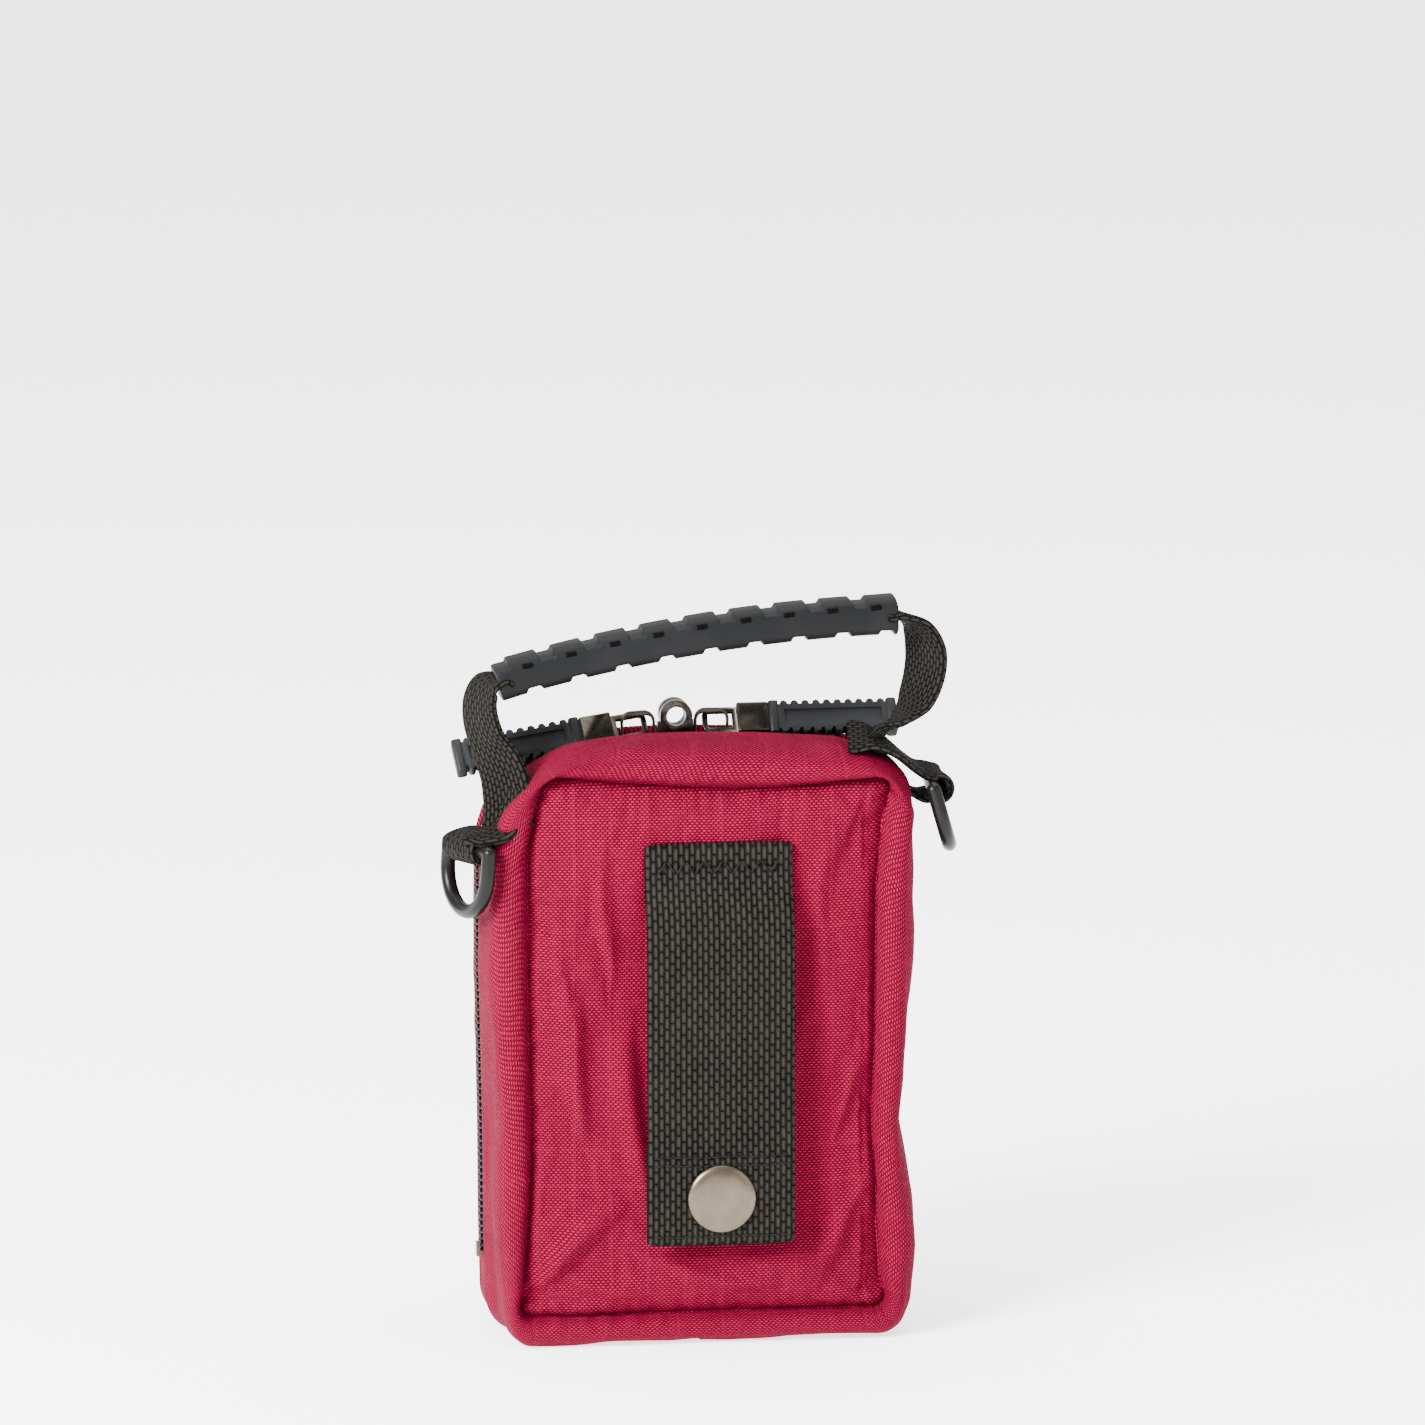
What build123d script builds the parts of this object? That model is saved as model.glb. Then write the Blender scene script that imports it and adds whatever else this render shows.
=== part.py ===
from build123d import *

import os
from math import asin, cos, degrees, radians, sin, sqrt, tan

# Small zipped first aid pouch with a carry handle, two D-rings, a snap-down belt loop and its contents.
#
# Millimetres. X is the width, Y the depth (belt loop on the -Y side, opening front on +Y), Z is up.
# The origin is the centre of the base, on the surface that the pouch stands on.

# ---------------------------------------------------------------- driving sizes

# Pouch
bag_width = 92.6
bag_height = 131.0
bag_depth = 50.0
top_arch_radius = 150.0
top_corner_left = 24.0
top_corner_right = 15.0
bottom_corner_radius = 12.0
edge_roll_radius = 8.4
fabric_thickness = 1.2
body_gap = 0.3  # between pieces of two bodies

# Zip
zip_sink = 4.6  # how far the zip lies below the rolled top
zip_side_sink = 1.2
zip_slot_half = 4.7  # half the opening between the two fabric lips
zip_lip = 1.1
tape_thickness = 0.8
coil_half_gap = 0.6
coil_width = 2.4
coil_height = 1.0
zip_end_height = 16.0

# Sliders and their pulls
slider_length = 11.4
slider_half_width = 3.8
slider_plate = 0.9
slider_lift = 0.8  # free height over the coil, so that the front half can leave sideways
slider_under = 0.4
slider_post_half = 0.35
crown_height = 6.0
crown_length = 7.6
crown_bar = 1.1
crown_leg = 0.62
crown_half_thickness = 0.55
eye_x = -2.8
eye_above_zip = 7.6
eye_outer_radius = 3.5
eye_bore_radius = 2.1
eye_thickness = 2.2
eye_side_gap = 0.4
slider_from_eye = 6.0
pull_roll = 52.0
pull_bar_offset = 0.4
loop_half_width = 3.1
loop_bar = 1.2
loop_inner_round = 0.5
loop_half_thickness = 0.55
loop_length = 6.9
ferrule_length = 7.0
ferrule_half_width = 3.6
ferrule_half_thickness = 2.0
rubber_length = 28.0
rubber_half_width = 3.7
rubber_half_thickness = 1.75
rubber_ribs = 10
left_pull_droop = 9.2

# Belt loop and its press stud
strap_width = 32.0
strap_x = 2.9
strap_top = 110.0
strap_bottom = 23.5
strap_tab = 8.0
strap_thickness = 1.4
strap_hem = 22.0
strap_bow = 5.4
strap_ramp = 11.0
stud_height_z = 33.8
cap_radius = 7.5
cap_thickness = 1.5
socket_radius = 6.2
socket_thickness = 2.2
stud_radius = 2.0
socket_clearance = 0.25
socket_bore = stud_radius + socket_clearance
stud_base_radius = 6.0
stud_base_thickness = 0.9
stud_gap = 0.3

# Handle, webbing and D-rings
handle_y = -13.0
webbing_width = 15.0
webbing_thickness = 1.4
grip_length = 87.0
grip_rise = 2.8
grip_tilt = 8.2
grip_centre_x = 0.2
grip_above_top = 20.1
grip_height = 7.8
grip_width = 11.0
grip_chamfer = 2.6
grip_notches = 8
grip_notch_length = 3.4
grip_notch_depth = 0.9
core_height = 2.6
core_width = 8.0
arm_width = 12.0
arm_pivot_out = {"left": -2.3, "right": 0.7}  # from the side of the pouch
arm_fold_gap = 0.3
ring_wire = 1.6
ring_half_width = 9.2
ring_drop = 13.8
loop_wall = 1.3
loop_clearance = 0.3

# Contents
binding_depth = 1.6
binding_width = 1.6
retainer_thickness = 0.8
roll_radius = 12.0
roll_length = 50.0
small_roll_radius = 10.5
small_roll_length = 48.0
tape_radius = 15.0
tape_core_radius = 9.5
tape_width = 12.5
packet_width = 74.0
packet_height = 58.0
plaster_thickness = 5.0
gauze_thickness = 6.0
wipes_width = 56.0
wipes_height = 52.0
wipes_thickness = 6.0
pocket_top = 76.0
scissor_thickness = 1.2
scissor_length = 84.0

# ---------------------------------------------------------------- derived places

half_width = bag_width / 2
half_depth = bag_depth / 2
seam_bottom = edge_roll_radius
zip_half_width = half_width - zip_side_sink
zip_top = bag_height - zip_sink
arch_centre_z = zip_top - top_arch_radius
coil_top = zip_top + coil_height
plate_low = coil_top + slider_lift
plate_high = plate_low + slider_plate
coil_outer = coil_half_gap + coil_width

arm_pivot_z = bag_height
arm_pivot_x = {"left": -half_width - arm_pivot_out["left"], "right": half_width + arm_pivot_out["right"]}
grip_centre_z = bag_height + grip_above_top

made = {}


def keep(name, shape):
    """Stores one named sub-part, which is written at the end."""
    made[name] = shape
    return shape


def box_between(low, high):
    size = [h - l for l, h in zip(low, high)]
    centre = [(h + l) / 2 for l, h in zip(low, high)]
    return Pos(*centre) * Box(*size)


def cylinder_y(radius, y0, y1, x, z):
    """A round bar along Y between y0 and y1."""
    return Pos(x, (y0 + y1) / 2, z) * Rot(90, 0, 0) * Cylinder(radius, abs(y1 - y0))


def cylinder_x(radius, x0, x1, y, z):
    return Pos((x0 + x1) / 2, y, z) * Rot(0, 90, 0) * Cylinder(radius, abs(x1 - x0))


# ---------------------------------------------------------------- pouch outline


def outline(half_w, top_z, grow=0.0):
    """The front outline as a face in the XZ plane: flat base, straight sides, arched top, round corners."""
    w = half_w + grow
    arch = top_arch_radius + grow
    centre_z = top_z - top_arch_radius
    shoulder = centre_z + sqrt(arch**2 - w**2)
    top = ThreePointArc((w, shoulder), (0, top_z + grow), (-w, shoulder))
    sides = Polyline((-w, shoulder), (-w, -grow), (w, -grow), (w, shoulder))
    face = make_face([top, sides])
    face = fillet(max(face.vertices(), key=lambda v: v.Y - v.X), top_corner_left + grow)
    face = fillet(max(face.vertices(), key=lambda v: v.Y + v.X), top_corner_right + grow)
    low = sorted(face.vertices(), key=lambda v: v.Y)[:2]
    face = fillet(low, bottom_corner_radius + grow)
    return Plane.XZ * face


def prism(half_w, top_z, grow, y0, y1):
    """The outline carried along Y from y0 to y1."""
    face = outline(half_w, top_z, grow)
    return Pos(0, y1, 0) * extrude(face, y1 - y0)


def pillow(grow=0.0):
    """The whole soft block: the outline with both of its edges rolled over."""
    reach = half_depth + grow
    block = prism(half_width, bag_height, grow, -reach, reach)
    ends = block.edges().group_by(Axis.Y)
    return fillet(ends[0] + ends[-1], edge_roll_radius + grow)


outer = pillow()
inner = pillow(-fabric_thickness)
shell = outer - inner
wide = half_width + 20
tall = bag_height + 20


def slab(y0, y1, z0=-20.0, z1=tall):
    return box_between((-wide, y0, z0), (wide, y1, z1))


def panel(y0, y1, shrink=0.0):
    """A flat panel inside the seam."""
    return prism(half_width, bag_height, -edge_roll_radius - shrink, y0, y1)


def lip(side):
    """The fabric turned down to the zip along one side of the slot."""
    y0, y1 = sorted((side * zip_slot_half, side * (zip_slot_half + zip_lip)))
    band = prism(half_width, bag_height, -fabric_thickness / 2, y0, y1)
    band -= prism(zip_half_width, zip_top, -fabric_thickness - tape_thickness, y0 - 1, y1 + 1)
    return band & slab(y0, y1, zip_end_height, tall)


def make_pouch():
    back_skin = panel(-half_depth, -half_depth + fabric_thickness)
    keep("back_panel", back_skin)
    back = (shell & slab(-half_depth - 1, -zip_slot_half)) - back_skin
    keep("back_gusset", back + lip(-1))
    front_skin = panel(half_depth - fabric_thickness, half_depth)
    base = shell & slab(-zip_slot_half, half_depth + 1, -20, zip_end_height - body_gap)
    keep("base_gusset", base - front_skin)
    freed = panel(0, half_depth + 1, body_gap) + slab(0, half_depth + 1, zip_end_height, tall)
    front_skin &= freed & slab(0, half_depth + 1, seam_bottom + body_gap, tall)
    keep("front_panel", front_skin)
    front = (shell & slab(zip_slot_half, half_depth + 1, zip_end_height, tall)) - front_skin
    keep("front_gusset", front + lip(1))


def binding(side):
    """The tape that binds the raw seam inside the pouch."""
    inner_face = half_depth - fabric_thickness
    y0, y1 = sorted((side * inner_face, side * (inner_face - binding_depth)))
    ring = prism(half_width, bag_height, -edge_roll_radius, y0, y1)
    ring -= prism(half_width, bag_height, -edge_roll_radius - binding_width, y0 - 1, y1 + 1)
    return ring & inner


def make_bindings():
    keep("seam_binding_back", binding(-1))
    raised = seam_bottom + edge_roll_radius
    keep("seam_binding_front", binding(1) & slab(0, half_depth, raised, tall))


# ---------------------------------------------------------------- zip


def zip_band(grow_out, grow_in, y0, y1):
    band = prism(zip_half_width, zip_top, grow_out, y0, y1)
    band -= prism(zip_half_width, zip_top, grow_in, y0 - 1, y1 + 1)
    return band & slab(y0, y1, zip_end_height, tall)


def make_zip():
    for name, side in (("back", -1), ("front", 1)):
        y0, y1 = sorted((side * coil_half_gap, side * zip_slot_half))
        keep(f"zip_tape_{name}", zip_band(0, -tape_thickness, y0, y1))
        y0, y1 = sorted((side * coil_half_gap, side * coil_outer))
        keep(f"zip_coil_{name}", zip_band(coil_height, 0, y0, y1))
    stop_height = 3.0
    stop_thickness = 0.7
    stops = []
    for side in (-1, 1):
        inner = zip_half_width + coil_height
        x0, x1 = sorted((side * inner, side * (inner + stop_thickness)))
        low = (x0, -coil_outer, zip_end_height)
        high = (x1, -coil_half_gap, zip_end_height + stop_height)
        stops.append(box_between(low, high))
    keep("zip_stops", Compound(children=stops))


# ---------------------------------------------------------------- sliders and pulls


def slider(side):
    """One lockable slider in its own flat frame: X along the zip from its middle, tail on the +X side."""
    half = slider_length / 2
    plate = box_between((-half, -slider_half_width, plate_low), (half, slider_half_width, plate_high))
    plate = fillet(plate.edges().filter_by(Axis.Z), 2.4)
    under_high = zip_top - tape_thickness - slider_under
    under = box_between(
        (-half, -slider_half_width, under_high - slider_plate), (half, slider_half_width, under_high)
    )
    under = fillet(under.edges().filter_by(Axis.Z), 2.4)
    post = box_between(
        (-half + 0.6, -slider_post_half, under_high - 0.1),
        (-half + 3.0, slider_post_half, plate_low + 0.1),
    )
    flange = box_between(
        (-half + 2.4, -slider_half_width, zip_top + 0.35), (half - 2.4, -coil_outer - 0.25, plate_low + 0.1)
    )
    body = plate + under + post + flange
    crown_low = plate_high - 0.1
    crown_high = plate_low - slider_lift + crown_height + 2.0
    start = half - crown_length - 0.1
    arch = box_between(
        (start, -crown_half_thickness, crown_low), (start + crown_length, crown_half_thickness, crown_high)
    )
    arch = fillet(arch.edges().filter_by(Axis.Y).group_by(Axis.Z)[-1], 2.4)
    window = box_between(
        (start + crown_leg, -2, crown_low - 1), (start + crown_length - crown_leg, 2, crown_high - crown_bar)
    )
    window = fillet(window.edges().filter_by(Axis.Y).group_by(Axis.Z)[-1], 1.4)
    window -= box_between((start, -3, crown_low - 2), (start + crown_length, 3, plate_high))
    return body + (arch - window)


def along_arch(shape, x):
    """Carries a piece from the middle of the zip's top to distance x along its arch."""
    turn = degrees(x / top_arch_radius)
    return Pos(0, 0, arch_centre_z) * Rot(0, turn, 0) * Pos(0, 0, -arch_centre_z) * shape


def arch_point(x, local_x, height):
    """Where a point of a slider's flat frame ends up: local_x along it and height over the zip."""
    turn = x / top_arch_radius
    reach = top_arch_radius + height
    return (
        local_x * cos(turn) + reach * sin(turn),
        arch_centre_z + reach * cos(turn) - local_x * sin(turn),
    )


def eye(side):
    """The lock eye on a slider's nose, and its foot."""
    y0, y1 = sorted((side * eye_side_gap, side * (eye_side_gap + eye_thickness)))
    z = zip_top + eye_above_zip
    ring = cylinder_y(eye_outer_radius, y0, y1, eye_x, z)
    foot_x = eye_x + side * 0.9
    far_x = eye_x + side * (eye_outer_radius + 0.6)
    x0, x1 = sorted((foot_x, far_x))
    foot = box_between((x0, y0, plate_low + 0.3), (x1, y1, z - 1.2))
    bore = cylinder_y(eye_bore_radius, y0 - 1, y1 + 1, eye_x, z)
    return ring + foot - bore


bar_height = crown_height + 2.0 - crown_bar - (
    crown_half_thickness * tan(radians(pull_roll)) + loop_half_thickness / cos(radians(pull_roll)) + 0.3
) + coil_height
slider_places = {"left": (-1, eye_x - slider_from_eye), "right": (1, eye_x + slider_from_eye)}


def pull_hinge(name):
    """(x, z) of the bar that a pull swings on."""
    side, x = slider_places[name]
    return arch_point(x, side * pull_bar_offset, bar_height)


def pull_frame():
    """The metal part of a pull, along +X from its bar, lying flat with its face up."""
    loop = box_between(
        (-loop_bar / 2, -loop_half_width, -loop_half_thickness),
        (loop_length + 0.5, loop_half_width, loop_half_thickness),
    )
    loop = fillet(loop.edges().filter_by(Axis.Z).group_by(Axis.X)[0], 2.0)
    window = box_between(
        (loop_bar / 2, -loop_half_width + loop_bar, -2), (loop_length - 1.0, loop_half_width - loop_bar, 2)
    )
    window = fillet(window.edges().filter_by(Axis.Z).group_by(Axis.X)[0], loop_inner_round)
    ferrule = box_between(
        (loop_length, -ferrule_half_width, -ferrule_half_thickness),
        (loop_length + ferrule_length, ferrule_half_width, ferrule_half_thickness),
    )
    ferrule = fillet(ferrule.edges(), 0.5)
    return (loop - window) + ferrule


def pull_rubber():
    """The moulded grip of a pull: ribbed edges, a bar at each end and a sunk panel in both faces."""
    start = loop_length + ferrule_length
    end_bar = 2.2
    core_half = rubber_half_width - 0.8
    body = box_between(
        (start, -core_half, -rubber_half_thickness), (start + rubber_length, core_half, rubber_half_thickness)
    )
    for x in (start, start + rubber_length - end_bar):
        bar = box_between(
            (x, -rubber_half_width, -rubber_half_thickness - 0.3),
            (x + end_bar, rubber_half_width, rubber_half_thickness + 0.3),
        )
        body += fillet(bar.edges().filter_by(Axis.Y), 0.8)
    pitch = (rubber_length - 2 * end_bar) / rubber_ribs
    for i in range(rubber_ribs):
        x = start + end_bar + (i + 0.5) * pitch
        for edge in (-1, 1):
            body += Pos(x, edge * core_half, 0) * Cylinder(pitch * 0.36, 2 * rubber_half_thickness)
    panel_half = rubber_half_width - 2.1
    for face in (-1, 1):
        z0, z1 = sorted((face * (rubber_half_thickness - 0.45), face * (rubber_half_thickness + 1)))
        body -= box_between(
            (start + end_bar + 1.2, -panel_half, z0), (start + rubber_length - end_bar - 1.2, panel_half, z1)
        )
    return body


def place_pull(shape, name):
    """Rolls a pull on its side, turns it the way it points and hangs it on its slider."""
    side, _ = slider_places[name]
    x, z = pull_hinge(name)
    droop = left_pull_droop if side < 0 else 0.0
    heading = Rot(0, 0, 0) if side > 0 else Rot(0, 0, 180)
    roll = pull_roll if side > 0 else -pull_roll
    return Pos(x, 0, z) * Rot(0, -side * -droop, 0) * heading * Rot(roll, 0, 0) * shape


def make_sliders():
    for name, (side, x) in slider_places.items():
        flat = slider(side)
        if side < 0:
            flat = mirror(flat, about=Plane.YZ)
        keep(f"slider_{name}", along_arch(flat, x) + eye(side))
        keep(f"pull_{name}_frame", place_pull(pull_frame(), name))
        keep(f"pull_{name}_rubber", place_pull(pull_rubber(), name))


# ---------------------------------------------------------------- belt loop and press stud

panel_y = -half_depth
strap_hinge_z = strap_top - strap_tab
stud_y = panel_y - stud_base_thickness
socket_y = stud_y - stud_gap
strap_inner_end = socket_y - socket_thickness


def strap_profile():
    """The strap seen from the side, as a face in the YZ plane: flat at the seam, then bowed out for a belt."""
    bow = panel_y - strap_bow
    end = strap_inner_end
    hem_top = strap_bottom + strap_hem
    inner_line = [
        (panel_y - strap_thickness, strap_hinge_z - 0.2),
        (bow, strap_hinge_z - strap_ramp),
        (bow, hem_top + strap_ramp),
        (end, hem_top),
        (end, strap_bottom),
    ]
    outer_line = [
        (end - 2 * strap_thickness, strap_bottom),
        (end - 2 * strap_thickness, hem_top),
        (bow - strap_thickness, hem_top + strap_ramp),
        (bow - strap_thickness, strap_hinge_z - strap_ramp - 0.5),
        (panel_y - 2 * strap_thickness, strap_hinge_z - 0.2),
    ]
    return Plane.YZ * make_face(Polyline(*inner_line, *outer_line, close=True))


def make_belt_loop():
    x0, x1 = strap_x - strap_width / 2, strap_x + strap_width / 2
    keep(
        "belt_loop_tab",
        box_between((x0, panel_y - 2 * strap_thickness, strap_hinge_z), (x1, panel_y, strap_top)),
    )
    strap = Pos(x0, 0, 0) * extrude(strap_profile(), strap_width)
    rivet_radius = 1.9
    outer_y = strap_inner_end - 2 * strap_thickness
    strap -= cylinder_y(rivet_radius + 0.1, outer_y - 1, strap_inner_end + 1, strap_x, stud_height_z)
    keep("belt_loop_strap", strap)
    cap = cylinder_y(cap_radius, outer_y - cap_thickness, outer_y, strap_x, stud_height_z)
    cap = fillet(cap.edges().group_by(Axis.Y)[0], 0.7)
    cap += cylinder_y(rivet_radius, outer_y, strap_inner_end, strap_x, stud_height_z)
    keep("snap_cap", cap)
    socket = cylinder_y(socket_radius, strap_inner_end, socket_y, strap_x, stud_height_z)
    socket = fillet(socket.edges().group_by(Axis.Y)[-1], 0.5)
    bore = cylinder_y(socket_bore, strap_inner_end + 0.1, socket_y + 1, strap_x, stud_height_z)
    keep("snap_socket", socket - bore)
    stud = cylinder_y(stud_base_radius, stud_y, panel_y, strap_x, stud_height_z)
    stud += cylinder_y(stud_radius, stud_y - 1.7, stud_y, strap_x, stud_height_z)
    post_radius = 1.6
    panel_inner = panel_y + fabric_thickness
    stud += cylinder_y(post_radius, stud_y, panel_inner, strap_x, stud_height_z)
    keep("snap_stud", stud)
    hole = cylinder_y(post_radius, panel_y - 1, panel_inner + 1, strap_x, stud_height_z)
    made["back_panel"] -= hole
    washer = cylinder_y(4.6, panel_inner, panel_inner + 0.8, strap_x, stud_height_z)
    keep("snap_washer", washer)


# ---------------------------------------------------------------- D-rings and webbing tabs

ring_places = {
    # side, middle of the bar, tilt of the hanging ring away from the pouch, turn of the bar from Y
    "left": (-1, (-half_width - 3.6, -18.65, bag_height - 21.5), 4.0, 21.0),
    "right": (1, (half_width + 5.1, -13.0, bag_height - 11.0), 16.0, 6.0),
}


def at_ring(name, shape, tilt=0.0):
    """Places a piece made round a bar along Y: turned with the gusset, then hung on its side."""
    side, middle, _, turn = ring_places[name]
    return Pos(*middle) * Rot(0, 0, -side * turn) * Rot(0, -side * tilt, 0) * shape


def d_ring():
    """A D of round wire hanging down from a bar along Y."""
    w = ring_half_width
    leg = ring_drop - w
    bow = Rot(0, 90, 0) * Torus(w, ring_wire)
    bow = (Pos(0, 0, -leg) * bow) & box_between((-5, -2 * w, -3 * w), (5, 2 * w, -leg))
    ring = bow + cylinder_y(ring_wire, -w, w, 0, 0)
    for y in (-w, w):
        ring += Pos(0, y, -leg / 2) * Cylinder(ring_wire, leg)
        ring += Pos(0, y, 0) * Sphere(ring_wire)
    return ring


def webbing_tab(name):
    """Webbing sewn round the back gusset's top corner: a loop for the D-ring and a stub up to the handle."""
    side, (x, y, z), _, _ = ring_places[name]
    skin = pillow(webbing_thickness) - outer
    start_x = 33.0 if side > 0 else 36.0
    inward, outward = sorted((side * start_x, side * (half_width + 4)))
    half = webbing_width / 2
    patch = skin & box_between((inward, handle_y - half, z - 4.0), (outward, handle_y + half, bag_height + 9))
    bore = ring_wire + loop_clearance
    loop_half = half - 0.75
    tube = Rot(90, 0, 0) * Cylinder(bore + loop_wall, 2 * loop_half)
    tube -= Rot(90, 0, 0) * Cylinder(bore, webbing_width + 1)
    x0, x1 = sorted((-side * 11.0, 0))
    tail = box_between((x0, -loop_half, bore), (x1, loop_half, bore + loop_wall))
    loop = at_ring(name, tube + tail) - outer
    loop = max(loop.solids(), key=lambda s: s.volume)
    stub_start = (side * (half_width - 8.3), bag_height - 11.0)
    stub = arm([stub_start, (arm_pivot_x[name], arm_pivot_z)], None) - outer
    stub = max(stub.solids(), key=lambda s: s.volume) - fold_cut(1)
    return patch + loop + stub


def make_rings():
    for name in ring_places:
        keep(f"webbing_tab_{name}", webbing_tab(name))
        keep(f"d_ring_{name}", at_ring(name, d_ring(), ring_places[name][2]))


# ---------------------------------------------------------------- handle

grip_radius = (grip_length**2 / 4 + grip_rise**2) / (2 * grip_rise)
grip_half_angle = degrees(asin(grip_length / 2 / grip_radius))


def bend_bar(face, half_angle):
    """Carries a cross-section at the top of the grip's arc both ways along it."""
    axis = Axis((0, 0, -grip_radius), (0, 1, 0))
    start = Pos(0, 0, -grip_radius) * Rot(0, -half_angle, 0) * Pos(0, 0, grip_radius) * face
    return revolve(start, axis, 2 * half_angle)


def grip_section():
    w, h, c = grip_width / 2, grip_height / 2, grip_chamfer
    lower = [(-w, -h + c), (-w + c, -h), (w - c, -h), (w, -h + c)]
    upper = [(w, h - c), (w - c, h), (-w + c, h), (-w, h - c)]
    corners = lower + upper
    return Plane.YZ * make_face(Polyline(*corners, close=True))


def core_section(clear=0.0):
    return Plane.YZ * Rectangle(core_width + 2 * clear, core_height + 2 * clear)


def along_grip(shape, angle):
    return Pos(0, 0, -grip_radius) * Rot(0, angle, 0) * Pos(0, 0, grip_radius) * shape


def place_grip(shape):
    middle = Pos(0, 0, grip_rise / 2)
    return Pos(grip_centre_x, handle_y, grip_centre_z) * Rot(0, -grip_tilt, 0) * middle * shape


def make_grip():
    bar = bend_bar(grip_section(), grip_half_angle)
    cut = box_between(
        (-grip_notch_length / 2, -grip_width, grip_height / 2 - grip_notch_depth),
        (grip_notch_length / 2, grip_width, grip_height),
    )
    for i in range(grip_notches):
        angle = (i - (grip_notches - 1) / 2) * 2 * grip_half_angle / grip_notches
        bar -= along_grip(cut, angle)
        bar -= along_grip(mirror(cut, about=Plane.XY), angle)
    bar -= bend_bar(core_section(0.1), grip_half_angle)
    return place_grip(bar)


def grip_end(side):
    """The middle of the webbing where it leaves one end of the grip."""
    local_x = side * (grip_length / 2 + 0.3)
    local_z = -grip_rise + grip_rise / 2
    tilt = radians(grip_tilt)
    return (
        grip_centre_x + local_x * cos(tilt) - local_z * sin(tilt),
        grip_centre_z + local_x * sin(tilt) + local_z * cos(tilt),
    )


def arm(points, radius):
    """A stretch of webbing in the XZ plane through the given points."""
    corners = [(x, handle_y, z) for x, z in points]
    path = FilletPolyline(*corners, radius=radius) if radius else Polyline(*corners)
    (x0, z0), (x1, z1) = points[:2]
    along = Vector(x1 - x0, 0, z1 - z0).normalized()
    start = Plane(origin=(x0, handle_y, z0), x_dir=(0, 1, 0), z_dir=along)
    section = start * Rectangle(arm_width, webbing_thickness)
    return sweep(section, path=path)


def fold_cut(side):
    """Clears the webbing on one side of the fold line, so that the other side can turn to a right angle."""
    reach = arm_width
    gap = side * -arm_fold_gap / 2
    corners = [(0, gap), (reach, gap - side * reach), (reach, side * reach)]
    corners += [(-reach, side * reach), (-reach, gap - side * reach)]
    face = Plane.YZ * make_face(Polyline(*corners, close=True))
    return Pos(-wide, handle_y, arm_pivot_z) * extrude(face, 2 * wide)


def make_handle():
    core = place_grip(bend_bar(core_section(), grip_half_angle + 0.4))
    right = grip_end(1)
    left = grip_end(-1)
    x, z = arm_pivot_x["right"], arm_pivot_z
    right_points = [right, (x + 3.3, right[1] + 0.3), (x + 6.2, z + 9.0), (x, z)]
    x = arm_pivot_x["left"]
    left_points = [left, (x - 4.2, left[1] - 1.0), (x - 3.4, z + 5.5), (x, z)]
    arms = (arm(right_points, 4.0) + arm(left_points, 2.5)) - fold_cut(-1)
    keep("handle_webbing", core + arms)
    keep("handle_grip", make_grip())


# ---------------------------------------------------------------- contents

store_back = -half_depth + fabric_thickness + binding_depth + 0.2


def make_supplies():
    roll_z = 16.0
    roll_y = store_back + roll_radius + 0.2
    roll_x0 = -41.0
    roll = cylinder_x(roll_radius, roll_x0, roll_x0 + roll_length, roll_y, roll_z)
    keep("bandage_roll_large", roll)
    small_z = roll_z + roll_radius + small_roll_radius + 1.2
    small_y = store_back + small_roll_radius + 0.2
    small_x0 = -40.0
    small = cylinder_x(small_roll_radius, small_x0, small_x0 + small_roll_length, small_y, small_z)
    keep("bandage_roll_small", small)
    tape_x, tape_z = 27.0, 34.0
    tape_y0 = store_back + 1.0
    spool = cylinder_y(tape_core_radius, tape_y0, tape_y0 + tape_width, tape_x, tape_z)
    spool -= cylinder_y(tape_core_radius - 1.2, tape_y0 - 1, tape_y0 + tape_width + 1, tape_x, tape_z)
    keep("tape_spool", spool)
    ring = cylinder_y(tape_radius, tape_y0 + 0.4, tape_y0 + tape_width - 0.4, tape_x, tape_z)
    ring -= cylinder_y(tape_core_radius, tape_y0, tape_y0 + tape_width, tape_x, tape_z)
    keep("tape_roll", ring)
    packet_z = small_z + small_roll_radius + 2.0
    plasters = box_between(
        (-packet_width / 2, store_back, packet_z),
        (packet_width / 2, store_back + plaster_thickness, packet_z + packet_height - 4),
    )
    keep("plaster_packet", fillet(plasters.edges().filter_by(Axis.Y), 3.0))
    gauze_y = store_back + plaster_thickness + 0.2
    gauze = box_between(
        (-packet_width / 2 + 4, gauze_y, packet_z),
        (packet_width / 2 - 4, gauze_y + gauze_thickness, packet_z + packet_height - 12),
    )
    keep("gauze_packet", fillet(gauze.edges().filter_by(Axis.Y), 2.0))
    band_y = gauze_y + gauze_thickness + 0.2
    band_z = packet_z + 18
    reach = half_width - 3.0
    band = box_between((-reach, band_y, band_z), (reach, band_y + retainer_thickness, band_z + 16))
    for side in (-1, 1):
        x0, x1 = sorted((side * (reach - retainer_thickness), side * reach))
        band += box_between((x0, store_back + 2, band_z), (x1, band_y, band_z + 16))
    keep("elastic_band", band & inner)


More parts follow.
